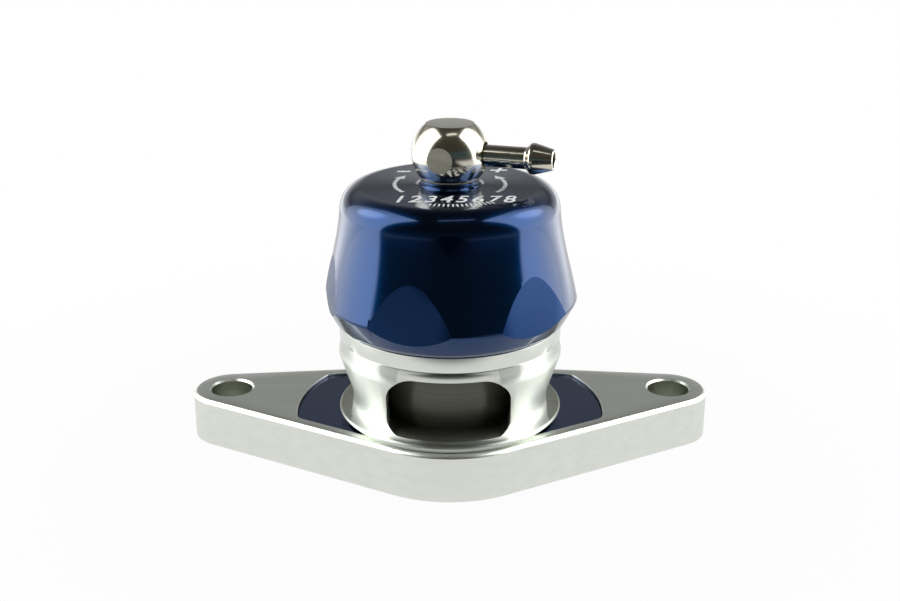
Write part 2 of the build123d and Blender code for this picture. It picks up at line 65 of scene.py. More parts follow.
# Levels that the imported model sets
FLANGE_TOP = level("flange_plate", 1)
CLAMP_BOTTOM, CLAMP_RIM_TOP = level("clamp_plate", 0), level("clamp_plate", 1)
SPIGOT_BOTTOM, CYLINDER_TOP = level("valve_body", 0), level("valve_body", 1)
COLLAR_BOTTOM, COLLAR_TOP = level("stop_collar", 0), level("stop_collar", 1)
CAP_BOTTOM, BOSS_TOP = level("cap", 0), level("cap", 1)
PISTON_BOTTOM, PISTON_TOP = level("piston", 0), level("piston", 1)
BALL_BOTTOM, BALL_TOP = level("ball_fitting", 0), level("ball_fitting", 1)
SPRING_BOTTOM, SPRING_TOP = level("piston", 1) - 27.0, level("spring_seat", 0) + 3.0

# Flange and its pocket
NOSE_RADIUS = 23.5
EAR_RADIUS = 8.35
BOLT_HALF_SPACING = 48.4
BOLT_SETBACK = 10.0
BOLT_RADIUS = 4.5
BOLT_CHAMFER = 0.4
FLANGE_CHAMFER = 0.75
FLANGE_FOOT_CHAMFER = 0.3
POCKET_RADIUS = 32.6
POCKET_WALL = 2.8
POCKET_CORNER = 1.6
POCKET_GAP = 0.1
CLAMP_DROP = 0.6
CLAMP_RIM_RADIUS = 21.0
SPIGOT_RADIUS = 15.8
INLET_RADIUS = 12.9
LIP_HEIGHT = 3.0
GROOVE_INNER, GROOVE_OUTER, GROOVE_DEPTH = 15.65, 17.65, 1.95

# Body
FOOT_RADIUS = 23.5
FOOT_HEIGHT = 1.8
FOOT_UNDERCUT = 1.2
WAIST_RADIUS = 20.5
FLARE_RADIUS = 2.2
SHOULDER_RADIUS = 23.3
SHOULDER_TOP_RADIUS = 22.78
SHOULDER_BAND = 3.9
CHAMBER_RADIUS = 15.5
THROAT_RADIUS = 12.4
CYLINDER_RADIUS = 20.6
THREAD_ROOT_RADIUS = 20.15
THREAD_PITCH = 1.5
LAND_RADIUS = 20.1
LAND_LENGTH = 5.5
SEAT_DEPTH = 2.3
SEAT_DROP = 0.9
SEAT_RADIUS = 14.32
RELIEF_DISTANCE, RELIEF_WIDTH = 20.4, 16.2
WINDOW_WIDTH, WINDOW_HEIGHT = 25.0, 13.4
WINDOW_RISE = 2.1
WINDOW_TOP_CORNER, WINDOW_FOOT_CORNER = 5.8, 2.5
WINDOW_TURN = -1.0

# Cap
CAP_FOOT_RADIUS = 23.3
CAP_GIRTH_RADIUS = 26.4
CAP_GIRTH_RISE = 5.2
CAP_BEVEL_RUN = 2.14
CAP_CONE_ANGLE = 13.6
CAP_CROWN_ANGLE = 4.5
CAP_CROWN_RADIUS = 22.45
CAP_SHOULDER = 4.8
BOSS_HEIGHT = 1.3
FLAT_COUNT = 6
FLAT_DISTANCE = 24.35
FLAT_RISE = 11.0
FLAT_TILT = 5.7
FLAT_AZIMUTH = 11.5
CAP_TOP = BOSS_TOP - BOSS_HEIGHT

# Ball and barb
BALL_RADIUS = 7.76
BALL_RISE = 4.7
BALL_FLAT_RADIUS = 2.6
BALL_CENTRE = BALL_BOTTOM + BALL_RISE
BARB_AZIMUTH = -16.5
BARB_REACH = 21.3

# Camera, from the photograph's own perspective
CAMERA_PLACE = (0.0, -255.5, 117.8)
CAMERA_PITCH = 20.116
CAMERA_LENS = 52.19

SCENE = bpy.context.scene


# Making meshes

def finish_mesh(bm, name, sharp_angle=28.0, recalculate=True):
    """Turn a millimetre bmesh into an object in metres, smooth but for its sharp edges."""
    if recalculate:
        bmesh.ops.recalc_face_normals(bm, faces=bm.faces)
    bmesh.ops.scale(bm, vec=(MM, MM, MM), verts=bm.verts)
    limit = math.radians(sharp_angle)
    for face in bm.faces:
        face.smooth = True
    for edge in bm.edges:
        if len(edge.link_faces) == 2 and edge.calc_face_angle() > limit:
            edge.smooth = False
    mesh = bpy.data.meshes.new(name)
    bm.to_mesh(mesh)
    bm.free()
    piece = bpy.data.objects.new(name, mesh)
    SCENE.collection.objects.link(piece)
    return piece


def arc(centre, radius, start, end, step=9.0):
    """Points along an arc, from one angle to another in degrees."""
    count = max(2, math.ceil(abs(end - start) / step))
    angles = [math.radians(start + (end - start) * i / count) for i in range(count + 1)]
    return [(centre[0] + radius * math.cos(a), centre[1] + radius * math.sin(a)) for a in angles]


def eased(points, radius, step=12.0):
    """An open outline with each inner corner rounded by a small radius."""
    made = [points[0]]
    for before, corner, after in zip(points, points[1:], points[2:]):
        back = Vector(before) - Vector(corner)
        ahead = Vector(after) - Vector(corner)
        opening = back.angle(ahead, math.pi)
        if opening > math.radians(172):
            made.append(corner)
            continue
        setback = min(radius / math.tan(opening / 2), 0.45 * back.length, 0.45 * ahead.length)
        first = Vector(corner) + back.normalized() * setback
        last = Vector(corner) + ahead.normalized() * setback
        count = max(2, round(math.degrees(math.pi - opening) / step))
        for i in range(count + 1):
            t = i / count
            point = first * (1 - t) ** 2 + Vector(corner) * 2 * t * (1 - t) + last * t**2
            made.append(tuple(point))
    made.append(points[-1])
    return made


def hermite(start, end, start_pull, end_pull, count=14):
    """Points along a smooth curve that leaves and arrives along two given pulls."""
    made = []
    for i in range(count + 1):
        t = i / count
        made.append(tuple(
            (2 * t**3 - 3 * t**2 + 1) * start[k] + (t**3 - 2 * t**2 + t) * start_pull[k]
            + (3 * t**2 - 2 * t**3) * end[k] + (t**3 - t**2) * end_pull[k]
            for k in (0, 1)
        ))
    return made


def turn(outline, segments=TURNED_SEGMENTS, closed=True):
    """A bmesh turned about Z from (radius, level) points; a radius of 0 is a pole."""
    bm = bmesh.new()
    rings = []
    for radius, height in outline:
        if radius < 1e-6:
            rings.append([bm.verts.new((0, 0, height))])
            continue
        rings.append([
            bm.verts.new((
                radius * math.cos(2 * math.pi * i / segments),
                radius * math.sin(2 * math.pi * i / segments),
                height,
            ))
            for i in range(segments)
        ])
    pairs = list(zip(rings, rings[1:]))
    if closed:
        pairs.append((rings[-1], rings[0]))
    for low, high in pairs:
        if len(low) == 1 and len(high) == 1:
            continue
        for i in range(segments):
            j = (i + 1) % segments
            if len(low) == 1:
                bm.faces.new((low[0], high[i], high[j]))
            elif len(high) == 1:
                bm.faces.new((low[i], low[j], high[0]))
            else:
                bm.faces.new((low[i], low[j], high[j], high[i]))
    return bm


def ring_of(bm, loop, height):
    """A closed ring of vertices from plan points at one height."""
    return [bm.verts.new((x, y, height)) for x, y in loop]


def bridge(bm, low, high):
    """Quads between two rings of as many points."""
    for i in range(len(low)):
        j = (i + 1) % len(low)
        bm.faces.new((low[i], low[j], high[j], high[i]))


def fill_between(bm, rings, up):
    """Flat faces that fill the plane between an outer ring and the holes in it."""
    edges = []
    for ring in rings:
        for i in range(len(ring)):
            edges.append(bm.edges.get((ring[i], ring[(i + 1) % len(ring)])))
    bmesh.ops.triangle_fill(bm, use_beauty=True, edges=edges, normal=(0, 0, up))


def slice_flat(bm, point, direction):
    """Mill a flat: cut away what lies beyond a plane and close the cut with one sharp-edged face."""
    cut = bmesh.ops.bisect_plane(
        bm, geom=bm.verts[:] + bm.edges[:] + bm.faces[:], plane_co=point, plane_no=direction,
        clear_outer=True, dist=1e-5,
    )
    rim = [item for item in cut["geom_cut"] if isinstance(item, bmesh.types.BMEdge)]
    made = bmesh.ops.edgenet_fill(bm, edges=rim)["faces"]
    return made


def cut_away(piece, cutters, bevel=0.0, sharp_angle=28.0):
    """Take the cutters out of a piece, ease the edges and keep the result as a plain mesh."""
    for cutter in cutters:
        boolean = piece.modifiers.new("cut", "BOOLEAN")
        boolean.operation = "DIFFERENCE"
        boolean.solver = "EXACT"
        boolean.object = cutter
    if bevel:
        ease = piece.modifiers.new("ease", "BEVEL")
        ease.limit_method = "ANGLE"
        ease.angle_limit = math.radians(sharp_angle)
        ease.width = bevel * MM
        ease.segments = 2
        ease.use_clamp_overlap = True
        ease.harden_normals = False
    name = piece.name
    graph = bpy.context.evaluated_depsgraph_get()
    mesh = bpy.data.meshes.new_from_object(piece.evaluated_get(graph))
    piece.modifiers.clear()
    piece.data = mesh
    mesh.name = name
    for cutter in cutters:
        bpy.data.objects.remove(cutter)
    bm = bmesh.new()
    bm.from_mesh(mesh)
    limit = math.radians(sharp_angle)
    for face in bm.faces:
        face.smooth = True
    for edge in bm.edges:
        edge.smooth = not (len(edge.link_faces) == 2 and edge.calc_face_angle() > limit)
    bm.to_mesh(mesh)
    bm.free()
    return piece


def rounded_rectangle(width, height, top_corner, foot_corner, step=5.0):
    """Plan points of a rectangle with round corners, counterclockwise."""
    made = []
    for sx, sy, start, corner in (
        (1, 1, 0, top_corner), (-1, 1, 90, top_corner), (-1, -1, 180, foot_corner), (1, -1, 270, foot_corner),
    ):
        centre = (sx * (width / 2 - corner), sy * (height / 2 - corner))
        made += arc(centre, corner, start, start + 90, step)
    return made


def prism(name, plan, low, high, place=None):
    """A closed prism from plan points, placed by a matrix in millimetres."""
    bm = bmesh.new()
    foot, head = ring_of(bm, plan, low), ring_of(bm, plan, high)
    bridge(bm, foot, head)
    bm.faces.new(list(reversed(foot)))
    bm.faces.new(head)
    if place is not None:
        bm.transform(place)
    return finish_mesh(bm, name)


# Node trees

def wire(tree, source, target):
    tree.links.new(source, target)


def add_node(tree, kind, settings=None, **inputs):
    """Add a node, set its properties, and set or link its inputs by name."""
    node = tree.nodes.new(kind)
    for key, value in (settings or {}).items():
        setattr(node, key, value)
    for key, value in inputs.items():
        name = key.replace("_", " ")
        socket = next((s for s in node.inputs if s.name == name and s.enabled), None)
        if socket is None:
            socket = node.inputs[int(key[1:])]
        if isinstance(value, bpy.types.NodeSocket):
            tree.links.new(value, socket)
        else:
            socket.default_value = value
    return node


def math_node(tree, operation, first, second=0.0, clamp=False):
    node = tree.nodes.new("ShaderNodeMath")
    node.operation = operation
    node.use_clamp = clamp
    for socket, value in zip(node.inputs, (first, second)):
        if isinstance(value, bpy.types.NodeSocket):
            tree.links.new(value, socket)
        else:
            socket.default_value = value
    return node.outputs[0]


def new_group(name, inputs, outputs):
    """A shader node group with named float sockets."""
    group = bpy.data.node_groups.new(name, "ShaderNodeTree")
    for socket_name, value in inputs.items():
        socket = group.interface.new_socket(name=socket_name, in_out="INPUT", socket_type="NodeSocketFloat")
        socket.default_value = value
    for socket_name in outputs:
        group.interface.new_socket(name=socket_name, in_out="OUTPUT", socket_type="NodeSocketFloat")
    return group, group.nodes.new("NodeGroupInput"), group.nodes.new("NodeGroupOutput")


def make_turning_marks():
    """Fine rings round the valve's axis, as a turning tool leaves them, and soft smudges over them."""
    group, given, out = new_group(
        "turning_marks", {"Rings per mm": 6.0, "Smudge size": 0.12}, ("Rings", "Smudge"),
    )
    place = add_node(group, "ShaderNodeTexCoord").outputs["Object"]
    apart = add_node(group, "ShaderNodeSeparateXYZ", Vector=place)
    square_x = math_node(group, "POWER", apart.outputs[0], 2.0)
    square_y = math_node(group, "POWER", apart.outputs[1], 2.0)
    radius = math_node(group, "SQRT", math_node(group, "ADD", square_x, square_y))
    per_metre = math_node(group, "DIVIDE", given.outputs["Rings per mm"], MM)
    along = add_node(
        group, "ShaderNodeCombineXYZ",
        X=math_node(group, "MULTIPLY", radius, per_metre),
        Y=math_node(group, "MULTIPLY", apart.outputs[2], per_metre),
    )
    rings = add_node(group, "ShaderNodeTexNoise", Vector=along.outputs[0], Scale=1.0, Detail=3.0, Roughness=0.6)
    wire(group, rings.outputs["Fac"], out.inputs["Rings"])
    smudge_scale = math_node(group, "DIVIDE", given.outputs["Smudge size"], MM)
    smudge = add_node(group, "ShaderNodeTexNoise", Vector=place, Scale=smudge_scale, Detail=4.0, Roughness=0.55)
    wire(group, smudge.outputs["Fac"], out.inputs["Smudge"])
    return group


def make_milling_marks():
    """Streaks along X, as a face mill or a belt leaves them, with a slow change from streak to streak."""
    group, given, out = new_group("milling_marks", {"Streaks per mm": 3.0, "Stretch": 0.02}, ("Streaks", "Tone"))
    place = add_node(group, "ShaderNodeTexCoord").outputs["Object"]
    apart = add_node(group, "ShaderNodeSeparateXYZ", Vector=place)
    per_metre = math_node(group, "DIVIDE", given.outputs["Streaks per mm"], MM)
    lengthwise = math_node(group, "MULTIPLY", per_metre, given.outputs["Stretch"])
    stretched = add_node(
        group, "ShaderNodeCombineXYZ",
        X=math_node(group, "MULTIPLY", apart.outputs[0], lengthwise),
        Y=math_node(group, "MULTIPLY", apart.outputs[1], per_metre),
        Z=math_node(group, "MULTIPLY", apart.outputs[2], per_metre),
    )
    streaks = add_node(
        group, "ShaderNodeTexNoise", Vector=stretched.outputs[0], Scale=1.0, Detail=4.0, Roughness=0.65,
    )
    tone = add_node(
        group, "ShaderNodeTexNoise", Vector=stretched.outputs[0], Scale=0.12, Detail=2.0, Roughness=0.5,
    )
    wire(group, streaks.outputs["Fac"], out.inputs["Streaks"])
    wire(group, tone.outputs["Fac"], out.inputs["Tone"])
    return group


TURNING = make_turning_marks()
MILLING = make_milling_marks()


def new_material(name):
    """A material with only its Principled shader, and that shader's node."""
    material = bpy.data.materials.new(name)
    material.use_nodes = True
    return material, material.node_tree, material.node_tree.nodes["Principled BSDF"]


def use_group(tree, group, **inputs):
    node = tree.nodes.new("ShaderNodeGroup")
    node.node_tree = group
    for key, value in inputs.items():
        node.inputs[key.replace("_", " ")].default_value = value
    return node


def spread(tree, value, low, high):
    """Map a 0 to 1 value onto a range."""
    node = tree.nodes.new("ShaderNodeMapRange")
    node.clamp = True
    node.inputs["From Min"].default_value = 0.3
    node.inputs["From Max"].default_value = 0.7
    node.inputs["To Min"].default_value = low
    node.inputs["To Max"].default_value = high
    tree.links.new(value, node.inputs["Value"])
    return node.outputs[0]


def tint(tree, value, dark, light):
    """Colour between two tones by a 0 to 1 value."""
    node = tree.nodes.new("ShaderNodeMix")
    node.data_type = "RGBA"
    node.inputs["A"].default_value = (*dark, 1)
    node.inputs["B"].default_value = (*light, 1)
    colour_sockets = [s for s in node.inputs if s.type == "RGBA"]
    colour_sockets[0].default_value = (*dark, 1)
    colour_sockets[1].default_value = (*light, 1)
    tree.links.new(value, node.inputs["Factor"])
    return next(s for s in node.outputs if s.type == "RGBA")


def emboss(tree, shader, height, depth_mm, strength=1.0):
    """Feed a height into the shader's normal, with its depth in millimetres."""
    bump = tree.nodes.new("ShaderNodeBump")
    bump.inputs["Distance"].default_value = depth_mm * MM
    bump.inputs["Strength"].default_value = strength
    tree.links.new(height, bump.inputs["Height"])
    tree.links.new(bump.outputs["Normal"], shader.inputs["Normal"])


def smear(shader, amount):
    """Spread reflections across the turned rings, as fine tool marks do."""
    shader.inputs["Anisotropic"].default_value = amount
    shader.inputs["Anisotropic Rotation"].default_value = 0.25


def smooth_step(tree, value, low, high):
    """A soft change from 0 to 1 as a value goes from low to high."""
    node = tree.nodes.new("ShaderNodeMapRange")
    node.interpolation_type = "SMOOTHSTEP"
    node.inputs["From Min"].default_value = low
    node.inputs["From Max"].default_value = high
    tree.links.new(value, node.inputs["Value"])
    return node.outputs[0]


def turned_metal(
    name, dark, light, roughness, rings_per_mm, ring_depth, smeared=0.0, metallic=1.0, smooth_above=None,
):
    """Metal with fine turned rings and a little smudging, and a smoother finish above a level."""
    material, tree, shader = new_material(name)
    marks = use_group(tree, TURNING, Rings_per_mm=rings_per_mm)
    wire(tree, tint(tree, spread(tree, marks.outputs["Rings"], 0, 1), dark, light), shader.inputs["Base Color"])
    smudges = math_node(tree, "MULTIPLY", marks.outputs["Smudge"], 0.7)
    rings = math_node(tree, "MULTIPLY", marks.outputs["Rings"], 0.3)
    wear = math_node(tree, "ADD", smudges, rings)
    worn = spread(tree, wear, *roughness)
    if smooth_above:
        place = add_node(tree, "ShaderNodeTexCoord").outputs["Object"]
        height = add_node(tree, "ShaderNodeSeparateXYZ", Vector=place).outputs[2]
        polish = smooth_step(tree, height, (smooth_above - 2.4) * MM, smooth_above * MM)
        worn = math_node(tree, "MULTIPLY", worn, math_node(tree, "ADD", math_node(tree, "MULTIPLY", polish, -0.7), 1.0))
    wire(tree, worn, shader.inputs["Roughness"])
    shader.inputs["Metallic"].default_value = metallic
    smear(shader, smeared)
    emboss(tree, shader, marks.outputs["Rings"], ring_depth)
    return material


def milled_metal(name, dark, light, roughness, streaks_per_mm, streak_depth):
    """Metal with straight milled streaks along the part."""
    material, tree, shader = new_material(name)
    marks = use_group(tree, MILLING, Streaks_per_mm=streaks_per_mm)
    wire(tree, tint(tree, spread(tree, marks.outputs["Tone"], 0, 1), dark, light), shader.inputs["Base Color"])
    wire(tree, spread(tree, marks.outputs["Streaks"], *roughness), shader.inputs["Roughness"])
    shader.inputs["Metallic"].default_value = 1.0
    emboss(tree, shader, marks.outputs["Streaks"], streak_depth)
    return material


def anodised(name, deep, bright, roughness, coat, coat_roughness, smeared=0.0):
    """Dyed anodised aluminium: coloured metal under a clear, glassy skin."""
    material, tree, shader = new_material(name)
    marks = use_group(tree, TURNING, Rings_per_mm=5.0, Smudge_size=0.08)
    dye = tint(tree, spread(tree, marks.outputs["Smudge"], 0, 1), deep, bright)
    wire(tree, dye, shader.inputs["Base Color"])
    wire(tree, spread(tree, marks.outputs["Rings"], *roughness), shader.inputs["Roughness"])
    shader.inputs["Metallic"].default_value = 1.0
    shader.inputs["Coat Weight"].default_value = coat
    shader.inputs["Coat Roughness"].default_value = coat_roughness
    shader.inputs["Coat IOR"].default_value = 1.42
    smear(shader, smeared)
    emboss(tree, shader, marks.outputs["Rings"], 0.0006)
    return material


def dull(name, dark, light, roughness, grain_mm):
    """Rubber or plastic with a fine grain."""
    material, tree, shader = new_material(name)
    place = add_node(tree, "ShaderNodeTexCoord").outputs["Object"]
    grain = add_node(tree, "ShaderNodeTexNoise", Vector=place, Scale=1 / (grain_mm * MM), Detail=3.0)
    wire(tree, tint(tree, spread(tree, grain.outputs["Fac"], 0, 1), dark, light), shader.inputs["Base Color"])
    wire(tree, spread(tree, grain.outputs["Fac"], *roughness), shader.inputs["Roughness"])
    emboss(tree, shader, grain.outputs["Fac"], 0.01, 0.4)
    return material


POLISHED = turned_metal(
    "polished_aluminium", (0.71, 0.74, 0.68), (0.76, 0.79, 0.73), (0.36, 0.44), 7.0, 0.0006, 0.85,
    smooth_above=COLLAR_BOTTOM - 1.4,
)
RING = turned_metal("ring_aluminium", (0.80, 0.83, 0.77), (0.85, 0.88, 0.82), (0.15, 0.21), 7.0, 0.0004, 0.5)
# The chamber's bore is the body's aluminium darkened: painted shade inside the valve.
BORE_PAINTED_SHADE = turned_metal("bored_aluminium", (0.36, 0.37, 0.32), (0.46, 0.47, 0.42), (0.45, 0.55), 4.0, 0.002)
# The floor seen through the window is the aluminium darkened further: painted shade.
WINDOW_FLOOR_PAINTED_SHADE = turned_metal("shaded_aluminium", (0.19, 0.20, 0.17), (0.25, 0.26, 0.22), (0.45, 0.55), 4.0, 0.002)
CUT_WALL = milled_metal("cut_aluminium", (0.50, 0.51, 0.45), (0.60, 0.61, 0.55), (0.55, 0.70), 4.0, 0.002)
SATIN = milled_metal("satin_aluminium", (0.81, 0.84, 0.77), (0.86, 0.89, 0.83), (0.28, 0.36), 6.0, 0.0012)
# A darker copy of the satin aluminium, painted shade, for the bolt holes' walls and the foot's relief flats.
SATIN_PAINTED_SHADE = milled_metal("satin_olive", (0.40, 0.42, 0.35), (0.48, 0.50, 0.43), (0.30, 0.40), 6.0, 0.0012)
BLUE = anodised("blue_anodised", (0.0010, 0.027, 0.104), (0.0016, 0.031, 0.116), (0.18, 0.25), 0.85, 0.05, 0.8)
BLUE_FLAT = anodised("blue_milled", (0.0010, 0.031, 0.122), (0.0016, 0.036, 0.138), (0.34, 0.42), 0.4, 0.25)
BLUE_PLATE = anodised("blue_plate", (0.0012, 0.024, 0.10), (0.002, 0.029, 0.12), (0.16, 0.24), 0.5, 0.08)
NICKEL = turned_metal("nickel_plate", (0.70, 0.67, 0.56), (0.77, 0.74, 0.63), (0.14, 0.19), 4.0, 0.0003)
TOP_FLAT = milled_metal("faced_nickel", (0.80, 0.80, 0.70), (0.92, 0.91, 0.82), (0.30, 0.38), 5.0, 0.004)
# The wrench flats: nickel with real milled streaks, its colour darkened as painted shade.
WRENCH_FLAT_PAINTED_SHADE = milled_metal("milled_nickel", (0.51, 0.50, 0.40), (0.64, 0.63, 0.52), (0.30, 0.38), 5.0, 0.004)
DARK_ALLOY = turned_metal(
    "dark_alloy", (0.100, 0.103, 0.080), (0.136, 0.140, 0.109), (0.26, 0.36), 3.0, 0.002, metallic=0.6,
)
STEEL = turned_metal("spring_steel", (0.38, 0.38, 0.39), (0.50, 0.50, 0.51), (0.22, 0.34), 4.0, 0.002)
COPPER = turned_metal("copper_washer", (0.68, 0.33, 0.20), (0.78, 0.42, 0.27), (0.25, 0.38), 4.0, 0.002)
RUBBER = dull("seal_rubber", (0.012, 0.012, 0.012), (0.03, 0.03, 0.03), (0.45, 0.65), 0.4)
PLASTIC = dull("bearing_plastic", (0.50, 0.44, 0.31), (0.60, 0.54, 0.40), (0.35, 0.5), 0.6)
MARKING = dull("marking_white", (0.78, 0.80, 0.82), (0.88, 0.89, 0.90), (0.5, 0.7), 0.2)


def dress(piece, material, body, slot, *nodes):
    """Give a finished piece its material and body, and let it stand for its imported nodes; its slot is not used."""
    piece.data.materials.clear()
    piece.data.materials.append(material)
    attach(piece, body)
    if nodes:
        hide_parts(*nodes)
    return piece


def add_finish(piece, material, test):
    """Give the faces that pass a test of their middle and normal, in millimetres, another finish."""
    piece.data.materials.append(material)
    slot = len(piece.data.materials) - 1
    for polygon in piece.data.polygons:
        if test(polygon.center / MM, polygon.normal):
            polygon.material_index = slot


# Flange plate and clamp plate

BOLT_LINE_ANGLE = math.degrees(math.atan2(BOLT_SETBACK, BOLT_HALF_SPACING))
BOLT_LINE_LENGTH = math.hypot(BOLT_SETBACK, BOLT_HALF_SPACING)
TANGENT_TURN = math.degrees(math.acos((NOSE_RADIUS - EAR_RADIUS) / BOLT_LINE_LENGTH))
BACK_TANGENT = BOLT_LINE_ANGLE + TANGENT_TURN
FRONT_TANGENT = BOLT_LINE_ANGLE - TANGENT_TURN


def flange_plan(wall):
    """The kite round the two ears and the nose, drawn in from its edge by a wall."""
    ear, nose = EAR_RADIUS - wall, NOSE_RADIUS - wall
    right, left = (BOLT_HALF_SPACING, BOLT_SETBACK), (-BOLT_HALF_SPACING, BOLT_SETBACK)
    return (
        arc(right, ear, FRONT_TANGENT, BACK_TANGENT, 4)
        + arc((0, 0), nose, BACK_TANGENT, 180 - BACK_TANGENT, 1.5)
        + arc(left, ear, 180 - BACK_TANGENT, 180 - FRONT_TANGENT, 4)
        + arc((0, 0), nose, 180 - FRONT_TANGENT, 360 + FRONT_TANGENT, 1.5)
    )


def edge_reach(angle, wall):
    """Distance from the axis to the flange's inset edge in one direction, short of the ears."""
    angle = angle % 360
    if angle > 180:
        beyond = max(0, abs(angle - 270) - (90 + FRONT_TANGENT))
    else:
        beyond = max(0, abs(angle - 90) - (90 - BACK_TANGENT))
    return (NOSE_RADIUS - wall) / max(0.2, math.cos(math.radians(beyond)))


def pocket_reach(angle, wall):
    """Edge of the pocket: the round bore, clipped near the flange's edges, with its corners rounded."""
    first, second = POCKET_RADIUS - (wall - POCKET_WALL), edge_reach(angle, wall)
    overlap = max(0, POCKET_CORNER - abs(first - second)) / POCKET_CORNER
    return min(first, second) - overlap**2 * POCKET_CORNER / 4


def polar_ring(bm, reach, height, count=360):
    """A ring of vertices whose distance from the axis is a function of the direction."""
    return ring_of(bm, [
        (
            reach(360 * i / count) * math.cos(2 * math.pi * i / count),
            reach(360 * i / count) * math.sin(2 * math.pi * i / count),
        )
        for i in range(count)
    ], height)


def make_flange_plate():
    bm = bmesh.new()
    outside = [
        ring_of(bm, flange_plan(wall), height)
        for wall, height in (
            (FLANGE_FOOT_CHAMFER, 0), (0, FLANGE_FOOT_CHAMFER), (0, FLANGE_TOP - FLANGE_CHAMFER),
            (FLANGE_CHAMFER * 0.08, FLANGE_TOP - FLANGE_CHAMFER * 0.86),
            (FLANGE_CHAMFER * 0.86, FLANGE_TOP - FLANGE_CHAMFER * 0.08), (FLANGE_CHAMFER * 1.06, FLANGE_TOP),
        )
    ]
    for low, high in zip(outside, outside[1:]):
        bridge(bm, low, high)
    bolt_tops, bolt_feet = [], []
    for side in (-1, 1):
        centre = (side * BOLT_HALF_SPACING, BOLT_SETBACK)
        walls = [
            ring_of(bm, arc(centre, radius, 0, 360, 4)[:-1], height)
            for radius, height in (
                (BOLT_RADIUS + BOLT_CHAMFER, 0), (BOLT_RADIUS, BOLT_CHAMFER),
                (BOLT_RADIUS, FLANGE_TOP - BOLT_CHAMFER), (BOLT_RADIUS + BOLT_CHAMFER, FLANGE_TOP),
            )
        ]
        for low, high in zip(walls, walls[1:]):
            bridge(bm, low, high)
        bolt_feet.append(walls[0])
        bolt_tops.append(walls[-1])
    edge_break = 0.12
    pocket = [
        polar_ring(bm, lambda a, w=wall: pocket_reach(a, w), height)
        for wall, height in (
            (POCKET_WALL - edge_break, FLANGE_TOP), (POCKET_WALL, FLANGE_TOP - edge_break),
            (POCKET_WALL, CLAMP_BOTTOM),
        )
    ]
    for low, high in zip(pocket, pocket[1:]):
        bridge(bm, low, high)
    bore = [
        polar_ring(bm, lambda a, r=radius: r, height)
        for radius, height in (
            (SPIGOT_RADIUS + 0.05, CLAMP_BOTTOM), (SPIGOT_RADIUS + 0.05, LIP_HEIGHT),
            (INLET_RADIUS, LIP_HEIGHT), (INLET_RADIUS, FLANGE_FOOT_CHAMFER),
            (INLET_RADIUS + FLANGE_FOOT_CHAMFER, 0),
        )
    ]
    for low, high in zip(bore, bore[1:]):
        bridge(bm, low, high)
    bridge(bm, pocket[-1], bore[0])
    groove = [
        polar_ring(bm, lambda a, r=radius: r, height)
        for radius, height in (
            (GROOVE_INNER, 0), (GROOVE_INNER, GROOVE_DEPTH), (GROOVE_OUTER, GROOVE_DEPTH), (GROOVE_OUTER, 0),
        )
    ]
    for low, high in zip(groove, groove[1:]):
        bridge(bm, low, high)
    bridge(bm, bore[-1], groove[0])
    fill_between(bm, [outside[-1], pocket[0], *bolt_tops], 1)
    fill_between(bm, [outside[0], groove[-1], *bolt_feet], -1)
    piece = finish_mesh(bm, "flange_body")
    dress(piece, SATIN, "valve", "satin_aluminium", "flange_plate")
    # The bolt holes' walls take the darker satin: painted shade in the holes.
    add_finish(piece, SATIN_PAINTED_SHADE, lambda middle, normal: (
        abs(normal.z) < 0.1
        and math.hypot(abs(middle.x) - BOLT_HALF_SPACING, middle.y - BOLT_SETBACK) < BOLT_RADIUS + 0.02
    ))
    return piece


def make_clamp_plate():
    bm = bmesh.new()
    wall = POCKET_WALL + POCKET_GAP
    face = FLANGE_TOP - CLAMP_DROP
    edge_break = 0.15

    def rim(angle):
        return min(CLAMP_RIM_RADIUS, pocket_reach(angle, wall) - 2 * edge_break)

    rings = [
        polar_ring(bm, reach, height)
        for reach, height in (
            (lambda a: pocket_reach(a, wall), CLAMP_BOTTOM),
            (lambda a: pocket_reach(a, wall), face - edge_break),
            (lambda a: pocket_reach(a, wall + edge_break), face),
            (rim, face),
            (rim, CLAMP_RIM_TOP),
            (lambda a: SPIGOT_RADIUS + 0.15, CLAMP_RIM_TOP),
            (lambda a: SPIGOT_RADIUS + 0.15, CLAMP_BOTTOM),
        )
    ]
    for low, high in zip(rings, rings[1:] + rings[:1]):
        bridge(bm, low, high)
    piece = finish_mesh(bm, "clamp_ring")
    return dress(piece, BLUE_PLATE, "valve", "blue_anodised", "clamp_plate")


# Valve body, collar and piston

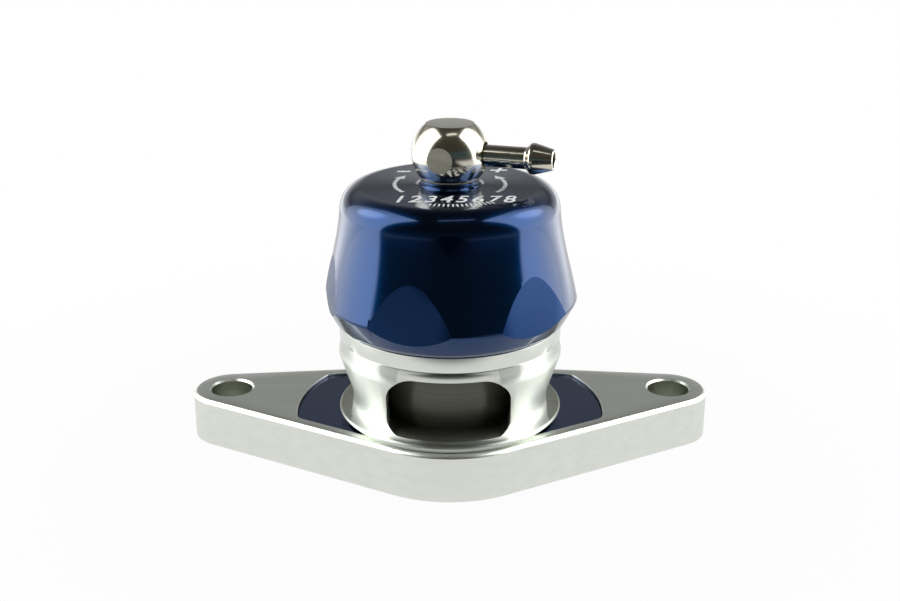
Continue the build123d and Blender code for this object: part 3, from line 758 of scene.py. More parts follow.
def make_valve_body():
    foot_top = FLANGE_TOP + FOOT_HEIGHT
    waist = foot_top + FLARE_RADIUS
    sweep_end = (WAIST_RADIUS + 0.42, waist + 2.54)
    shoulder_foot = COLLAR_BOTTOM - SHOULDER_BAND
    taper_foot, taper_top = shoulder_foot + 0.6, COLLAR_BOTTOM - 0.12
    taper = [
        (
            SHOULDER_RADIUS + (SHOULDER_TOP_RADIUS - SHOULDER_RADIUS) * share,
            taper_foot + (taper_top - taper_foot) * share,
        )
        for share in (0, 0.04, 0.96, 1)
    ]
    land_bottom = CYLINDER_TOP - LAND_LENGTH
    seat_top = FLANGE_TOP - SEAT_DROP
    outside = (
        eased([
            (THROAT_RADIUS, SPIGOT_BOTTOM), (SPIGOT_RADIUS, SPIGOT_BOTTOM), (SPIGOT_RADIUS, FLANGE_TOP),
            (FOOT_RADIUS - FOOT_UNDERCUT, FLANGE_TOP), (FOOT_RADIUS, FLANGE_TOP + FOOT_UNDERCUT),
            (FOOT_RADIUS, foot_top - 0.5),
        ], 0.12)
        + arc((FOOT_RADIUS - 0.5, foot_top - 0.5), 0.5, 15, 90, 15)
        + arc((WAIST_RADIUS + FLARE_RADIUS, waist), FLARE_RADIUS, 270, 180, 7.5)
        + hermite((WAIST_RADIUS, waist + 0.1), sweep_end, (0, 2.3), (0.8, 2.4), 8)
        + eased([
            sweep_end, (SHOULDER_RADIUS, shoulder_foot), (SHOULDER_RADIUS, taper_foot - 0.15), *taper,
            (SHOULDER_TOP_RADIUS - 0.12, COLLAR_BOTTOM),
        ], 0.5)[1:]
        + [
            (THREAD_ROOT_RADIUS, COLLAR_BOTTOM), (THREAD_ROOT_RADIUS, land_bottom - 0.3),
            (LAND_RADIUS, land_bottom), (LAND_RADIUS, CYLINDER_TOP - 0.6), (LAND_RADIUS - 0.6, CYLINDER_TOP),
            (CHAMBER_RADIUS + 0.1, CYLINDER_TOP), (CHAMBER_RADIUS, CYLINDER_TOP - 0.1),
            (CHAMBER_RADIUS, seat_top), (SEAT_RADIUS, seat_top), (SEAT_RADIUS, seat_top - SEAT_DEPTH),
            (THROAT_RADIUS, seat_top - SEAT_DEPTH),
        ]
    )
    body = finish_mesh(turn(outside), "body_spool")
    turned = Matrix.Rotation(math.radians(WINDOW_TURN), 4, "Z")
    window_level = FLANGE_TOP + WINDOW_RISE + WINDOW_HEIGHT / 2
    upright = turned @ Matrix.Translation((0, 0, window_level)) @ Matrix.Rotation(math.radians(90), 4, "X")
    window_plan = rounded_rectangle(WINDOW_WIDTH, WINDOW_HEIGHT, WINDOW_TOP_CORNER, WINDOW_FOOT_CORNER)
    window = prism("window_cutter", window_plan, -40, 40, upright)
    reach, half_width = 30, RELIEF_WIDTH / 2
    reliefs = [
        prism(f"relief_cutter_{side}", [
            (side * RELIEF_DISTANCE, -half_width), (side * reach, -half_width), (side * reach, half_width),
            (side * RELIEF_DISTANCE, half_width),
        ][::side], foot_top, foot_top + FLARE_RADIUS + 0.4, turned)
        for side in (-1, 1)
    ]
    cut_away(body, [window, *reliefs], bevel=0.18, sharp_angle=35)
    dress(body, POLISHED, "valve", "polished_aluminium", "valve_body")
    inner_reach = CHAMBER_RADIUS + 0.1
    # Faces inside the chamber take the darkened aluminium: painted shade.
    add_finish(body, BORE_PAINTED_SHADE, lambda middle, normal: math.hypot(middle.x, middle.y) < inner_reach)
    add_finish(body, CUT_WALL, lambda middle, normal: (
        abs(normal.x * middle.y - normal.y * middle.x) > 0.5 * math.hypot(middle.x, middle.y)
    ))
    # Level faces inside the window take the darker aluminium: painted shade.
    add_finish(body, WINDOW_FLOOR_PAINTED_SHADE, lambda middle, normal: (
        abs(normal.z) > 0.5 and math.hypot(middle.x, middle.y) < WAIST_RADIUS - 0.5
        and window_level - WINDOW_HEIGHT < middle.z < window_level + WINDOW_HEIGHT
    ))
    floor_level = foot_top + 0.05
    # The foot's flat tops beside the reliefs take the darker satin: painted shade.
    add_finish(body, SATIN_PAINTED_SHADE, lambda middle, normal: (
        normal.z > 0.9 and abs(middle.z - foot_top) < 0.1 and abs(middle.x) > RELIEF_DISTANCE
        and middle.z < floor_level
    ))
    return body


def make_collar():
    outline = eased([
        (CYLINDER_RADIUS + 0.1, COLLAR_BOTTOM), (23.0, COLLAR_BOTTOM), (23.12, COLLAR_BOTTOM + 0.15),
        (23.12, COLLAR_TOP - 0.15), (22.9, COLLAR_TOP), (CYLINDER_RADIUS + 0.1, COLLAR_TOP),
    ], 0.06)
    piece = finish_mesh(turn(outline), "collar_band")
    return dress(piece, RING, "valve", "polished_aluminium", "stop_collar")


def make_piston():
    skirt, cup, head = CHAMBER_RADIUS - 0.05, CHAMBER_RADIUS - 3.6, THROAT_RADIUS + 1.35
    ring_depth, ring_height = 0.8, 2.0
    nose = head - 2.7
    grooves = []
    for foot in (level("lower_wear_ring", 0), level("piston_seal", 0), level("upper_wear_ring", 0)):
        grooves += [
            (skirt, foot), (skirt - ring_depth, foot), (skirt - ring_depth, foot + ring_height),
            (skirt, foot + ring_height),
        ]
    outline = (
        [(0, PISTON_BOTTOM)]
        + eased([(nose - 2, PISTON_BOTTOM), (nose, PISTON_BOTTOM), (head, PISTON_BOTTOM + 2.7)], 0.3)[1:]
        + eased([(head, PISTON_BOTTOM + 2.8), (skirt, PISTON_BOTTOM + 2.8), grooves[0]], 0.5)[:-1]
        + grooves
        + eased([
            grooves[-1], (skirt, PISTON_TOP), (cup, PISTON_TOP), (cup, SPRING_BOTTOM), (0, SPRING_BOTTOM),
        ], 0.4)[1:]
    )
    piece = finish_mesh(turn(outline, 160), "piston_cup")
    return dress(piece, DARK_ALLOY, "piston_group", "dark_alloy", "piston")


# Cap, its flats and its marks

def make_cap():
    foot = (CAP_GIRTH_RADIUS - CAP_BEVEL_RUN, CAP_BOTTOM + 1.0)
    girth = CAP_BOTTOM + CAP_GIRTH_RISE
    crown_level = CAP_TOP - CAP_SHOULDER
    cone, crown = math.radians(CAP_CONE_ANGLE), math.radians(CAP_CROWN_ANGLE)
    rise = crown_level - girth
    flat_edge = CAP_CROWN_RADIUS - CAP_SHOULDER
    side = hermite(
        (CAP_GIRTH_RADIUS, girth), (CAP_CROWN_RADIUS, crown_level),
        (-math.tan(cone) * rise, rise), (-math.tan(crown) * rise, rise), 20,
    )
    outside = (
        eased([(20.65, CAP_BOTTOM), (CAP_FOOT_RADIUS, CAP_BOTTOM), foot, side[0], side[1]], 1.6)[:-1]
        + side[1:]
        + arc((flat_edge, crown_level), CAP_SHOULDER, 0, 90, 6)[1:]
    )
    boss = (
        arc((7.15, CAP_TOP + 0.85), 0.85, 270, 205, 13)
        + [(6.0, CAP_TOP + 0.72)]
        + arc((5.75, CAP_TOP + 1.0), 0.3, -20, 90, 22)
        + [(5.6, BOSS_TOP)]
    )
    inside = [
        (4.02, BOSS_TOP), (4.02, CAP_TOP - 2.1), (6.5, CAP_TOP - 2.1), (6.5, CAP_TOP - 3.3),
        (17.5, CAP_TOP - 3.3), (19.5, CAP_TOP - 5.3),
        (19.5, CYLINDER_TOP + 0.1), (20.15, CYLINDER_TOP + 0.1), (20.15, CYLINDER_TOP - 5.3),
        (20.65, CYLINDER_TOP - 5.3),
    ]
    bm = turn(outside + boss + inside, 240)
    flats, flat_normals = [], []
    for i in range(FLAT_COUNT):
        azimuth = math.radians(FLAT_AZIMUTH + 360 / FLAT_COUNT * i)
        tilt = math.radians(FLAT_TILT)
        out = Vector((math.cos(azimuth), math.sin(azimuth), math.tan(tilt))).normalized()
        point = Vector((
            FLAT_DISTANCE * math.cos(azimuth), FLAT_DISTANCE * math.sin(azimuth), CAP_BOTTOM + FLAT_RISE,
        ))
        flats += slice_flat(bm, point, out)
        flat_normals.append(out)
    rims = {tuple(sorted(v.co.to_tuple(5) for v in edge.verts)) for face in flats for edge in face.edges}
    bmesh.ops.recalc_face_normals(bm, faces=bm.faces)
    piece = finish_mesh(bm, "cap_shell", 32)
    sharpen(piece, rims)
    dress(piece, BLUE, "cap_group", "blue_anodised", "cap")
    add_finish(piece, BLUE_FLAT, lambda middle, normal: any(normal.dot(out) > 0.99999 for out in flat_normals))
    return piece


def sharpen(piece, rims):
    """Mark the rims of milled flats as sharp, though they meet their neighbours at a small angle."""
    bm = bmesh.new()
    bm.from_mesh(piece.data)
    wanted = {tuple(tuple(round(c, 4) for c in point) for point in rim) for rim in rims}
    for edge in bm.edges:
        ends = tuple(sorted(tuple(round(c / MM, 4) for c in v.co) for v in edge.verts))
        if ends in wanted:
            edge.smooth = False
    bm.to_mesh(piece.data)
    bm.free()


# Ball, barb and post

def make_ball():
    top_edge = math.degrees(math.asin((BALL_TOP - BALL_CENTRE) / BALL_RADIUS))
    foot_edge = math.degrees(math.asin(BALL_RISE / BALL_RADIUS))
    bore = 3.55
    outline = (
        [(0, BALL_BOTTOM + 6.6), (bore, BALL_BOTTOM + 6.6), (bore, BALL_BOTTOM)]
        + eased(
            [(bore + 0.2, BALL_BOTTOM)] + arc((0, BALL_CENTRE), BALL_RADIUS, -foot_edge, top_edge, 3.5)
            + [(0.6, BALL_TOP)], 0.15,
        )
        + [(0, BALL_TOP)]
    )
    bm = turn(outline, 160)
    reach = math.sqrt(BALL_RADIUS**2 - BALL_FLAT_RADIUS**2)
    for i in range(4):
        azimuth = math.radians(BARB_AZIMUTH + 90 * i)
        out = Vector((math.cos(azimuth), math.sin(azimuth), 0))
        slice_flat(bm, out * reach + Vector((0, 0, BALL_CENTRE)), out)
    ball = finish_mesh(bm, "ball_body", 24)
    along = barb_place()
    recess = prism("recess_cutter", arc((0, 0), 2.75, 0, 360, 7.5)[:-1], reach - 0.9, reach + 4, along)
    cross = prism("cross_cutter", arc((0, 0), 1.5, 0, 360, 10)[:-1], 2.0, reach, along)
    cut_away(ball, [recess, cross], sharp_angle=16)
    dress(ball, NICKEL, "fitting", "nickel", "ball_fitting")
    flat_sides = [
        Matrix.Rotation(math.radians(BARB_AZIMUTH + 90 * i), 3, "Z") @ Vector((1, 0, 0)) for i in range(4)
    ]
    # The wrench flats take the darkened nickel: painted shade over real milled streaks.
    add_finish(ball, WRENCH_FLAT_PAINTED_SHADE, lambda middle, normal: any(
        normal.dot(side) > 0.9999 and middle.dot(side) > reach - 0.02 for side in flat_sides
    ))
    top_face = BALL_TOP - 0.02
    add_finish(ball, TOP_FLAT, lambda middle, normal: middle.z > top_face)
    return ball


def barb_place():
    """Matrix that lays a shape turned about Z along the barb, from the ball's centre."""
    return (
        Matrix.Translation((0, 0, BALL_CENTRE))
        @ Matrix.Rotation(math.radians(BARB_AZIMUTH), 4, "Z")
        @ Matrix.Rotation(math.radians(90), 4, "Y")
    )


def make_barb():
    shaft, crest, bore = 2.175, 3.1, 1.5
    start = 15.9
    outline = eased([
        (bore, 4.2), (shaft, 4.2), (shaft, start - 0.25), (shaft + 0.12, start), (crest - 0.1, start + 0.75),
        (crest, start + 0.95), (crest, start + 1.6), (2.1, BARB_REACH - 0.12), (1.95, BARB_REACH),
        (bore + 0.15, BARB_REACH), (bore, BARB_REACH - 0.15),
    ], 0.12)
    bm = turn(outline, 96)
    bm.transform(barb_place())
    piece = finish_mesh(bm, "barb_stem", 24)
    return dress(piece, NICKEL, "fitting", "nickel", "hose_barb")


# Geometry-node pieces

def new_tree(name, inputs):
    """A geometry tree with named inputs, its group input and output nodes."""
    tree = bpy.data.node_groups.new(name, "GeometryNodeTree")
    tree.interface.new_socket(name="Geometry", in_out="OUTPUT", socket_type="NodeSocketGeometry")
    for socket_name, kind in inputs.items():
        tree.interface.new_socket(name=socket_name, in_out="INPUT", socket_type=kind)
    return tree, tree.nodes.new("NodeGroupInput"), tree.nodes.new("NodeGroupOutput")


def close_tree(tree, geometry, given, out):
    """End a tree in Realize Instances and Set Material."""
    real = add_node(tree, "GeometryNodeRealizeInstances", Geometry=geometry)
    painted = add_node(
        tree, "GeometryNodeSetMaterial", Geometry=real.outputs[0], Material=given.outputs["Material"],
    )
    wire(tree, painted.outputs[0], out.inputs["Geometry"])


def grow(name, tree, **values):
    """Run a geometry tree on an empty mesh and keep what it makes as a plain mesh."""
    piece = bpy.data.objects.new(name, bpy.data.meshes.new(name))
    SCENE.collection.objects.link(piece)
    modifier = piece.modifiers.new("grow", "NODES")
    modifier.node_group = tree
    for socket in tree.interface.items_tree:
        key = socket.name.replace(" ", "_")
        if socket.in_out == "INPUT" and key in values:
            modifier[socket.identifier] = values[key]
    graph = bpy.context.evaluated_depsgraph_get()
    mesh = bpy.data.meshes.new_from_object(piece.evaluated_get(graph))
    piece.modifiers.clear()
    piece.data = mesh
    mesh.name = name
    for polygon in mesh.polygons:
        polygon.use_smooth = True
    return piece


def coil_tree():
    """A wire swept along a spiral: the main spring, and the body's thread."""
    tree, given, out = new_tree("wire_coil", {
        "Turns": "NodeSocketFloat", "Radius": "NodeSocketFloat", "Height": "NodeSocketFloat",
        "Wire": "NodeSocketFloat", "Level": "NodeSocketFloat", "Sides": "NodeSocketInt",
        "Material": "NodeSocketMaterial",
    })
    spiral = add_node(
        tree, "GeometryNodeCurveSpiral", Resolution=64, Rotations=given.outputs["Turns"],
        Start_Radius=given.outputs["Radius"], End_Radius=given.outputs["Radius"], Height=given.outputs["Height"],
    )
    section = add_node(
        tree, "GeometryNodeCurvePrimitiveCircle", Resolution=given.outputs["Sides"], Radius=given.outputs["Wire"],
    )
    swept = add_node(
        tree, "GeometryNodeCurveToMesh", {}, Curve=spiral.outputs[0], Profile_Curve=section.outputs[0],
        Fill_Caps=True,
    )
    lift = add_node(tree, "ShaderNodeCombineXYZ", Z=given.outputs["Level"])
    raised = add_node(
        tree, "GeometryNodeTransform", Geometry=swept.outputs[0], Translation=lift.outputs[0],
    )
    close_tree(tree, raised.outputs[0], given, out)
    return tree


def scale_tree():
    """Short bars set along an arc, each pointing at the valve's axis: a plain setting scale."""
    tree, given, out = new_tree("arc_of_bars", {
        "Count": "NodeSocketInt", "Radius": "NodeSocketFloat", "Start": "NodeSocketFloat",
        "Step": "NodeSocketFloat", "Length": "NodeSocketFloat", "Width": "NodeSocketFloat",
        "Thickness": "NodeSocketFloat", "Level": "NodeSocketFloat", "Material": "NodeSocketMaterial",
    })
    spots = add_node(tree, "GeometryNodeMeshLine", Count=given.outputs["Count"], Offset=(0, 0, 0))
    index = add_node(tree, "GeometryNodeInputIndex")
    turned = math_node(tree, "MULTIPLY", index.outputs[0], given.outputs["Step"])
    angle = math_node(tree, "ADD", turned, given.outputs["Start"])
    across = math_node(tree, "MULTIPLY", math_node(tree, "COSINE", angle), given.outputs["Radius"])
    along = math_node(tree, "MULTIPLY", math_node(tree, "SINE", angle), given.outputs["Radius"])
    spot = add_node(tree, "ShaderNodeCombineXYZ", X=across, Y=along, Z=given.outputs["Level"])
    placed = add_node(
        tree, "GeometryNodeSetPosition", Geometry=spots.outputs["Mesh"], Position=spot.outputs[0],
    )
    size = add_node(
        tree, "ShaderNodeCombineXYZ", X=given.outputs["Length"], Y=given.outputs["Width"],
        Z=given.outputs["Thickness"],
    )
    bar = add_node(tree, "GeometryNodeMeshCube", Size=size.outputs[0])
    facing = add_node(tree, "ShaderNodeCombineXYZ", Z=angle)
    stood = add_node(
        tree, "GeometryNodeInstanceOnPoints", Points=placed.outputs["Geometry"], Instance=bar.outputs["Mesh"],
        Rotation=facing.outputs[0],
    )
    close_tree(tree, stood.outputs[0], given, out)
    return tree


def make_coils():
    tree = coil_tree()
    wire_radius, coil_radius, turns = 1.18, 9.5, 9.5
    spring = grow(
        "coil_spring", tree, Turns=turns, Radius=coil_radius * MM, Wire=wire_radius * MM, Sides=20,
        Height=(SPRING_TOP - SPRING_BOTTOM - 2 * wire_radius) * MM, Level=(SPRING_BOTTOM + wire_radius) * MM,
        Material=STEEL,
    )
    dress(spring, STEEL, "spring_carrier", "spring_steel", "main_spring")
    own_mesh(spring)
    thread_length = CYLINDER_TOP - LAND_LENGTH - COLLAR_BOTTOM - 1.5
    ridge = (CYLINDER_RADIUS - THREAD_ROOT_RADIUS) / 2
    thread = grow(
        "body_thread", tree, Turns=thread_length / THREAD_PITCH, Radius=(THREAD_ROOT_RADIUS + 0.03) * MM,
        Wire=2 * ridge * MM, Sides=6, Height=thread_length * MM, Level=(COLLAR_BOTTOM + 0.8) * MM,
        Material=POLISHED,
    )
    dress(thread, POLISHED, "valve", "polished_aluminium")


# Marks on the cap's top

MARK_THICKNESS = 0.03
ARROW_WIDTH = 0.75


def strip(name, centreline, width):
    """A flat ribbon on the cap's top along plan points."""
    bm = bmesh.new()
    left, right = [], []
    for i, point in enumerate(centreline):
        before, after = centreline[max(0, i - 1)], centreline[min(len(centreline) - 1, i + 1)]
        along = (Vector(after) - Vector(before)).normalized()
        side = Vector((-along.y, along.x)) * width / 2
        for points, sign in ((left, 1), (right, -1)):
            spot = Vector(point) + side * sign
            points.append([bm.verts.new((spot.x, spot.y, CAP_TOP + h)) for h in (0.0, MARK_THICKNESS)])
    for i in range(len(centreline) - 1):
        a, b, c, d = left[i], left[i + 1], right[i + 1], right[i]
        for quad in ((a[1], b[1], c[1], d[1]), (a[0], d[0], c[0], b[0]), (a[0], b[0], b[1], a[1]),
                     (d[0], d[1], c[1], c[0])):
            bm.faces.new(quad)
    for i in (0, -1):
        bm.faces.new((left[i][0], left[i][1], right[i][1], right[i][0]))
    return finish_mesh(bm, name)


def curved_arrow(name, radius, start, end):
    """A curved arrow about the axis that points the way the angle grows."""
    shaft = strip(f"{name}_shaft", arc((0, 0), radius, start, end, 4), ARROW_WIDTH)
    sign = 1 if end > start else -1
    tip_angle = math.radians(end + sign * 13)
    tip = Vector((radius * math.cos(tip_angle), radius * math.sin(tip_angle)))
    at = Vector((radius * math.cos(math.radians(end)), radius * math.sin(math.radians(end))))
    out = at.normalized()
    points = [at + out * 1.1, at - out * 1.1, tip]
    bm = bmesh.new()
    foot = [bm.verts.new((p.x, p.y, CAP_TOP)) for p in points]
    head = [bm.verts.new((p.x, p.y, CAP_TOP + MARK_THICKNESS)) for p in points]
    bridge(bm, foot, head)
    bm.faces.new(foot)
    bm.faces.new(head)
    return [shaft, finish_mesh(bm, f"{name}_head")]


def character(text, across, along, height, narrowing=0.75):
    """A plain numeral or sign lying on the cap's top, its foot towards the front."""
    curve = bpy.data.curves.new(f"character_{text}", "FONT")
    curve.body = text
    curve.size = height * 1.4 * MM
    curve.align_x = "CENTER"
    curve.align_y = "CENTER"
    curve.extrude = MARK_THICKNESS / 2 * MM
    curve.offset = 0.08 * MM
    curve.shear = 0.25
    holder = bpy.data.objects.new(curve.name, curve)
    SCENE.collection.objects.link(holder)
    graph = bpy.context.evaluated_depsgraph_get()
    mesh = bpy.data.meshes.new_from_object(holder.evaluated_get(graph))
    bpy.data.objects.remove(holder)
    place = Matrix.Translation((across * MM, along * MM, (CAP_TOP + MARK_THICKNESS / 2) * MM))
    mesh.transform(place @ Matrix.Diagonal((narrowing, 1, 1, 1)))
    piece = bpy.data.objects.new(curve.name, mesh)
    SCENE.collection.objects.link(piece)
    return piece


def join(name, pieces):
    """One piece from several plain meshes."""
    bm = bmesh.new()
    for piece in pieces:
        bm.from_mesh(piece.data)
        bpy.data.objects.remove(piece)
    mesh = bpy.data.meshes.new(name)
    bm.to_mesh(mesh)
    bm.free()
    joined = bpy.data.objects.new(name, mesh)
    SCENE.collection.objects.link(joined)
    return joined


def make_marks():
    bars = grow(
        "scale_bars", scale_tree(), Count=15, Radius=15.9 * MM, Start=math.radians(-104), Step=math.radians(3.2),
        Length=1.7 * MM, Width=0.3 * MM, Thickness=MARK_THICKNESS * MM,
        Level=(CAP_TOP + MARK_THICKNESS / 2) * MM, Material=MARKING,
    )
    numerals = [character(str(i + 1), 0.6 + (i - 3.5) * 3.05, -11.6, 4.6) for i in range(8)]
    signs = [character("-", -10.2, 10.6, 6.0, 1.2), character("+", 9.6, 10.6, 5.0, 1.0)]
    arrows = curved_arrow("left_arrow", 11.2, 214, 158) + curved_arrow("right_arrow", 11.2, -34, 22)
    marks = join("cap_marks", [bars, *numerals, *signs, *arrows])
    return dress(marks, MARKING, "cap_group", "blue_anodised")


make_flange_plate()
make_clamp_plate()
make_valve_body()
make_collar()
make_piston()
make_cap()
make_ball()
make_barb()
make_coils()
make_marks()

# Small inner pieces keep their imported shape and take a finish
NODE_FINISH = {
    "flange_seal": RUBBER, "body_o_ring": RUBBER, "cap_o_ring": RUBBER, "nose_seal": RUBBER,
    "piston_seal": RUBBER, "swivel_o_ring": RUBBER, "valve_seat": PLASTIC, "lower_wear_ring": PLASTIC,
    "upper_wear_ring": PLASTIC, "thrust_washer": PLASTIC, "swivel_washer": PLASTIC, "spring_seat": DARK_ALLOY,
    "post_washer": COPPER, "swivel_post": NICKEL, "swivel_clip": STEEL,
}
for node, finish in NODE_FINISH.items():
    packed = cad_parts[node]
    packed.data.materials.clear()
    packed.data.materials.append(finish)


# Studio: a white sheet under the valve, soft boxes at both sides, and a dark room in front to mirror

BOX_GLOW = 2.25
BOX_CORE_GLOW = 2.6
STRIP_GLOW = 2.0
# The floor's mirrored glow: a painted pool of light round the valve that fades with distance, with brighter painted
# light beside it.
FLOOR_PAINTED_LIGHT_TONES = ((0.0, 0.80), (0.24, 0.77), (0.51, 0.66), (0.80, 0.08), (1.0, 0.05))
FLOOR_PAINTED_LIGHT_REACH = 500.0
FLOOR_PAINTED_SIDE_LIGHT = 1.5
SHEET_TONES = ((0.0, 0.85), (0.17, 0.40), (0.27, 0.10), (0.36, 0.28), (0.46, 0.35), (0.7, 0.10), (1.0, 0.03))
ROOM_TONES = (
    (0.0, (0.040, 0.070, 0.082)), (0.16, (0.040, 0.068, 0.078)), (0.34, (0.040, 0.037, 0.028)),
    (1.0, (0.055, 0.050, 0.040)),
)
DARK_HALF_WIDTH = 90.0
DARK_START = 106.0


def tone_ramp(tree, value, tones):
    """A tone or colour that follows (place, tone) pairs along a 0 to 1 value."""
    ramp = tree.nodes.new("ShaderNodeValToRGB")
    stops = ramp.color_ramp.elements
    while len(stops) < len(tones):
        stops.new(0.5)
    for stop, (place, tone) in zip(stops, tones):
        stop.position = place
        stop.color = (*tone, 1) if isinstance(tone, tuple) else (tone, tone, tone, 1)
    tree.links.new(value, ramp.inputs["Fac"])
    return ramp.outputs["Color"]


def staged_plane(name, half_width, half_height, material):
    """A flat sheet of the studio, which isn't part of the valve."""
    w, h = half_width * MM, half_height * MM
    mesh = bpy.data.meshes.new(name)
    mesh.from_pydata([(-w, -h, 0), (w, -h, 0), (w, h, 0), (-w, h, 0)], [], [(0, 1, 2, 3)])
    mesh.materials.append(material)
    sheet = bpy.data.objects.new(name, mesh)
    SCENE.collection.objects.link(sheet)
    return sheet


def glow_material(name):
    """An emission-only material; the shader's inputs are filled in by its maker."""
    material = bpy.data.materials.new(name)
    material.use_nodes = True
    tree = material.node_tree
    tree.nodes.clear()
    out = tree.nodes.new("ShaderNodeOutputMaterial")
    glow = tree.nodes.new("ShaderNodeEmission")
    wire(tree, glow.outputs[0], out.inputs["Surface"])
    return material, tree, glow


def soft_box(name, place, target, size, brightness, edge, roll=0.0, slope=0.0, core=None):
    """A glowing sheet with soft edges, and a brighter round core where it has one."""
    material, tree, glow = glow_material(name)
    spot = add_node(tree, "ShaderNodeTexCoord").outputs["Object"]
    apart = add_node(tree, "ShaderNodeSeparateXYZ", Vector=spot)
    tone = None
    for axis in (0, 1):
        off_centre = math_node(tree, "ABSOLUTE", apart.outputs[axis])
        half = size[axis] / 2 * MM
        fade = smooth_step(tree, math_node(tree, "SUBTRACT", half, off_centre), 0.0, edge * MM)
        tone = fade if tone is None else math_node(tree, "MULTIPLY", tone, fade)
    rise = math_node(tree, "MULTIPLY", apart.outputs[0], slope / (size[0] / 2 * MM))
    tone = math_node(tree, "MULTIPLY", tone, brightness)
    tone = math_node(tree, "MULTIPLY", tone, math_node(tree, "ADD", rise, 1.0))
    if core:
        (core_x, core_y), core_radius, core_glow = core
        away = add_node(
            tree, "ShaderNodeVectorMath", {"operation": "DISTANCE"}, i0=spot, i1=(core_x * MM, core_y * MM, 0),
        )
        hot = smooth_step(tree, away.outputs["Value"], core_radius * MM, core_radius * 0.45 * MM)
        tone = math_node(tree, "ADD", tone, math_node(tree, "MULTIPLY", hot, core_glow))
    wire(tree, tone, glow.inputs["Strength"])
    box = staged_plane(name, size[0] / 2, size[1] / 2, material)
    box.location = Vector(place) * MM
    aim = (Vector(target) - Vector(place)).normalized()
    box.rotation_mode = "QUATERNION"
    box.rotation_quaternion = aim.to_track_quat("Z", "Y") @ Quaternion((0, 0, 1), math.radians(roll))
    box.visible_camera = False
    return box


def make_floor():
    """A pale sheet that glows. To the camera it is plain but for a faint painted contact shade near the valve. Where
    the metal mirrors it, a painted pool of light fades with distance, with painted side light by the soft boxes and a
    darker patch ahead.
    """
    material, tree, glow = glow_material("pale_floor")
    apart = add_node(
        tree, "ShaderNodeSeparateXYZ", Vector=add_node(tree, "ShaderNodeTexCoord").outputs["Object"],
    )
    across, ahead = apart.outputs[0], math_node(tree, "MULTIPLY", apart.outputs[1], -1.0)
    square_x, square_y = math_node(tree, "POWER", across, 2.0), math_node(tree, "POWER", ahead, 2.0)
    away = math_node(tree, "SQRT", math_node(tree, "ADD", square_x, square_y))
    # Painted pool of light: the floor's glow falls off with distance from the valve.
    tone = tone_ramp(tree, math_node(tree, "DIVIDE", away, FLOOR_PAINTED_LIGHT_REACH * MM, clamp=True), FLOOR_PAINTED_LIGHT_TONES)
    aside = math_node(tree, "ABSOLUTE", across)
    narrow = smooth_step(tree, aside, (DARK_HALF_WIDTH + 25) * MM, (DARK_HALF_WIDTH - 25) * MM)
    far = smooth_step(tree, ahead, (DARK_START - 16) * MM, (DARK_START + 14) * MM)
    dark = math_node(tree, "MULTIPLY", math_node(tree, "MULTIPLY", narrow, far), -0.96)
    sheet = math_node(tree, "MULTIPLY", tone, math_node(tree, "ADD", dark, 1.0))
    # Painted light on the floor at the sides, where the soft boxes shine.
    beside = math_node(tree, "ADD", ahead, math_node(tree, "MULTIPLY", aside, -0.2))
    painted_side_light = math_node(
        tree, "MULTIPLY", smooth_step(tree, aside, 0.09, 0.19), smooth_step(tree, beside, 0.03, -0.03),
    )
    mirrored = math_node(tree, "ADD", sheet, math_node(tree, "MULTIPLY", painted_side_light, FLOOR_PAINTED_SIDE_LIGHT))
    # To the camera the floor is plain white but for a faint painted contact shadow close to the valve.
    seen = math_node(
        tree, "ADD", math_node(tree, "MULTIPLY", smooth_step(tree, away, 0.03, 0.16), 0.025), 0.975,
    )
    path = add_node(tree, "ShaderNodeLightPath")
    choose = tree.nodes.new("ShaderNodeMix")
    wire(tree, path.outputs["Is Camera Ray"], choose.inputs[0])
    wire(tree, mirrored, choose.inputs[2])
    wire(tree, seen, choose.inputs[3])
    wire(tree, choose.outputs[0], glow.inputs["Strength"])
    staged_plane("floor", 4000, 4000, material)


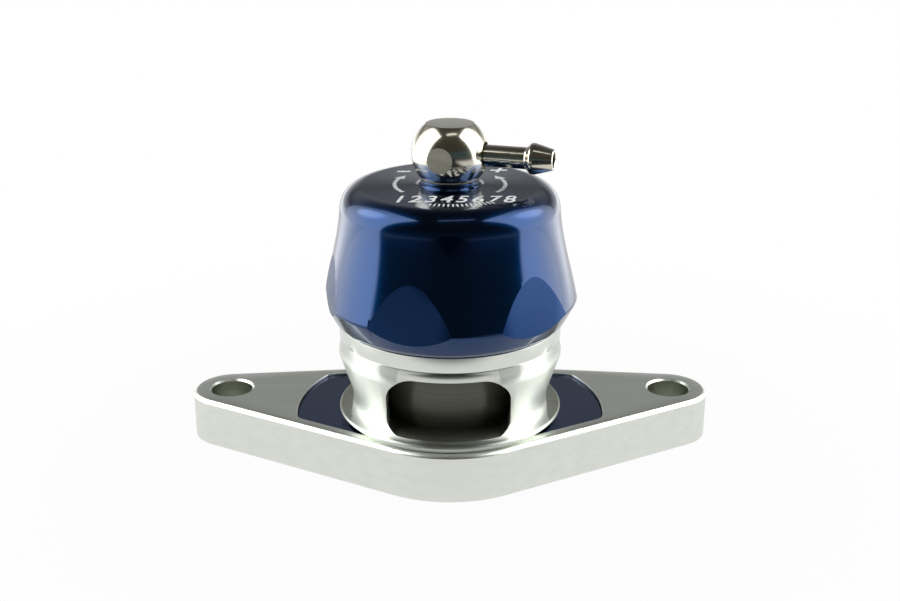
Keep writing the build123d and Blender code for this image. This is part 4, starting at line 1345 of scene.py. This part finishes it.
def make_world():
    """A white backdrop to look at; for the metal to mirror, a sheet that fades upwards and a dark room."""
    world = bpy.data.worlds.new("studio")
    SCENE.world = world
    world.use_nodes = True
    tree = world.node_tree
    tree.nodes.clear()
    out = tree.nodes.new("ShaderNodeOutputWorld")
    seen = add_node(tree, "ShaderNodeBackground", Color=(1, 1, 1, 1), Strength=1.0)
    place = add_node(tree, "ShaderNodeTexCoord").outputs["Generated"]
    apart = add_node(tree, "ShaderNodeSeparateXYZ", Vector=place)
    sheet = tone_ramp(tree, apart.outputs[2], SHEET_TONES)
    behind = tree.nodes.new("ShaderNodeMix")
    behind.data_type = "RGBA"
    wire(tree, smooth_step(tree, apart.outputs[1], -0.15, 0.3), behind.inputs["Factor"])
    colours = [s for s in behind.inputs if s.type == "RGBA"]
    wire(tree, tone_ramp(tree, apart.outputs[2], ROOM_TONES), colours[0])
    wire(tree, sheet, colours[1])
    mirrored = next(s for s in behind.outputs if s.type == "RGBA")
    room = add_node(tree, "ShaderNodeBackground", Color=mirrored, Strength=1.0)
    path = add_node(tree, "ShaderNodeLightPath")
    mix = tree.nodes.new("ShaderNodeMixShader")
    wire(tree, path.outputs["Is Camera Ray"], mix.inputs[0])
    wire(tree, room.outputs[0], mix.inputs[1])
    wire(tree, seen.outputs[0], mix.inputs[2])
    wire(tree, mix.outputs[0], out.inputs["Surface"])


def make_camera():
    data = bpy.data.cameras.new("camera")
    data.lens = CAMERA_LENS
    data.sensor_width = 36
    data.clip_start, data.clip_end = 0.01, 20
    camera = bpy.data.objects.new("camera", data)
    SCENE.collection.objects.link(camera)
    x, y, above = CAMERA_PLACE
    camera.location = (x * MM, y * MM, (FLANGE_TOP + above) * MM)
    camera.rotation_euler = (math.radians(90 - CAMERA_PITCH), 0, 0)
    SCENE.camera = camera


make_floor()
make_world()
make_camera()
for side, name in ((-1, "left_box"), (1, "right_box")):
    soft_box(
        name, (side * 316, 93, 235), (side * 4, 200, 235), (496, 680), BOX_GLOW, 22, side * -14, side * 0.5,
        ((side * 13, 31), 150, BOX_CORE_GLOW),
    )
soft_box("top_strip", (25, -112, 360), (0, 0, 58), (155, 26), STRIP_GLOW, 6)
SCENE.view_settings.view_transform = "Standard"
SCENE.cycles.use_denoising = True
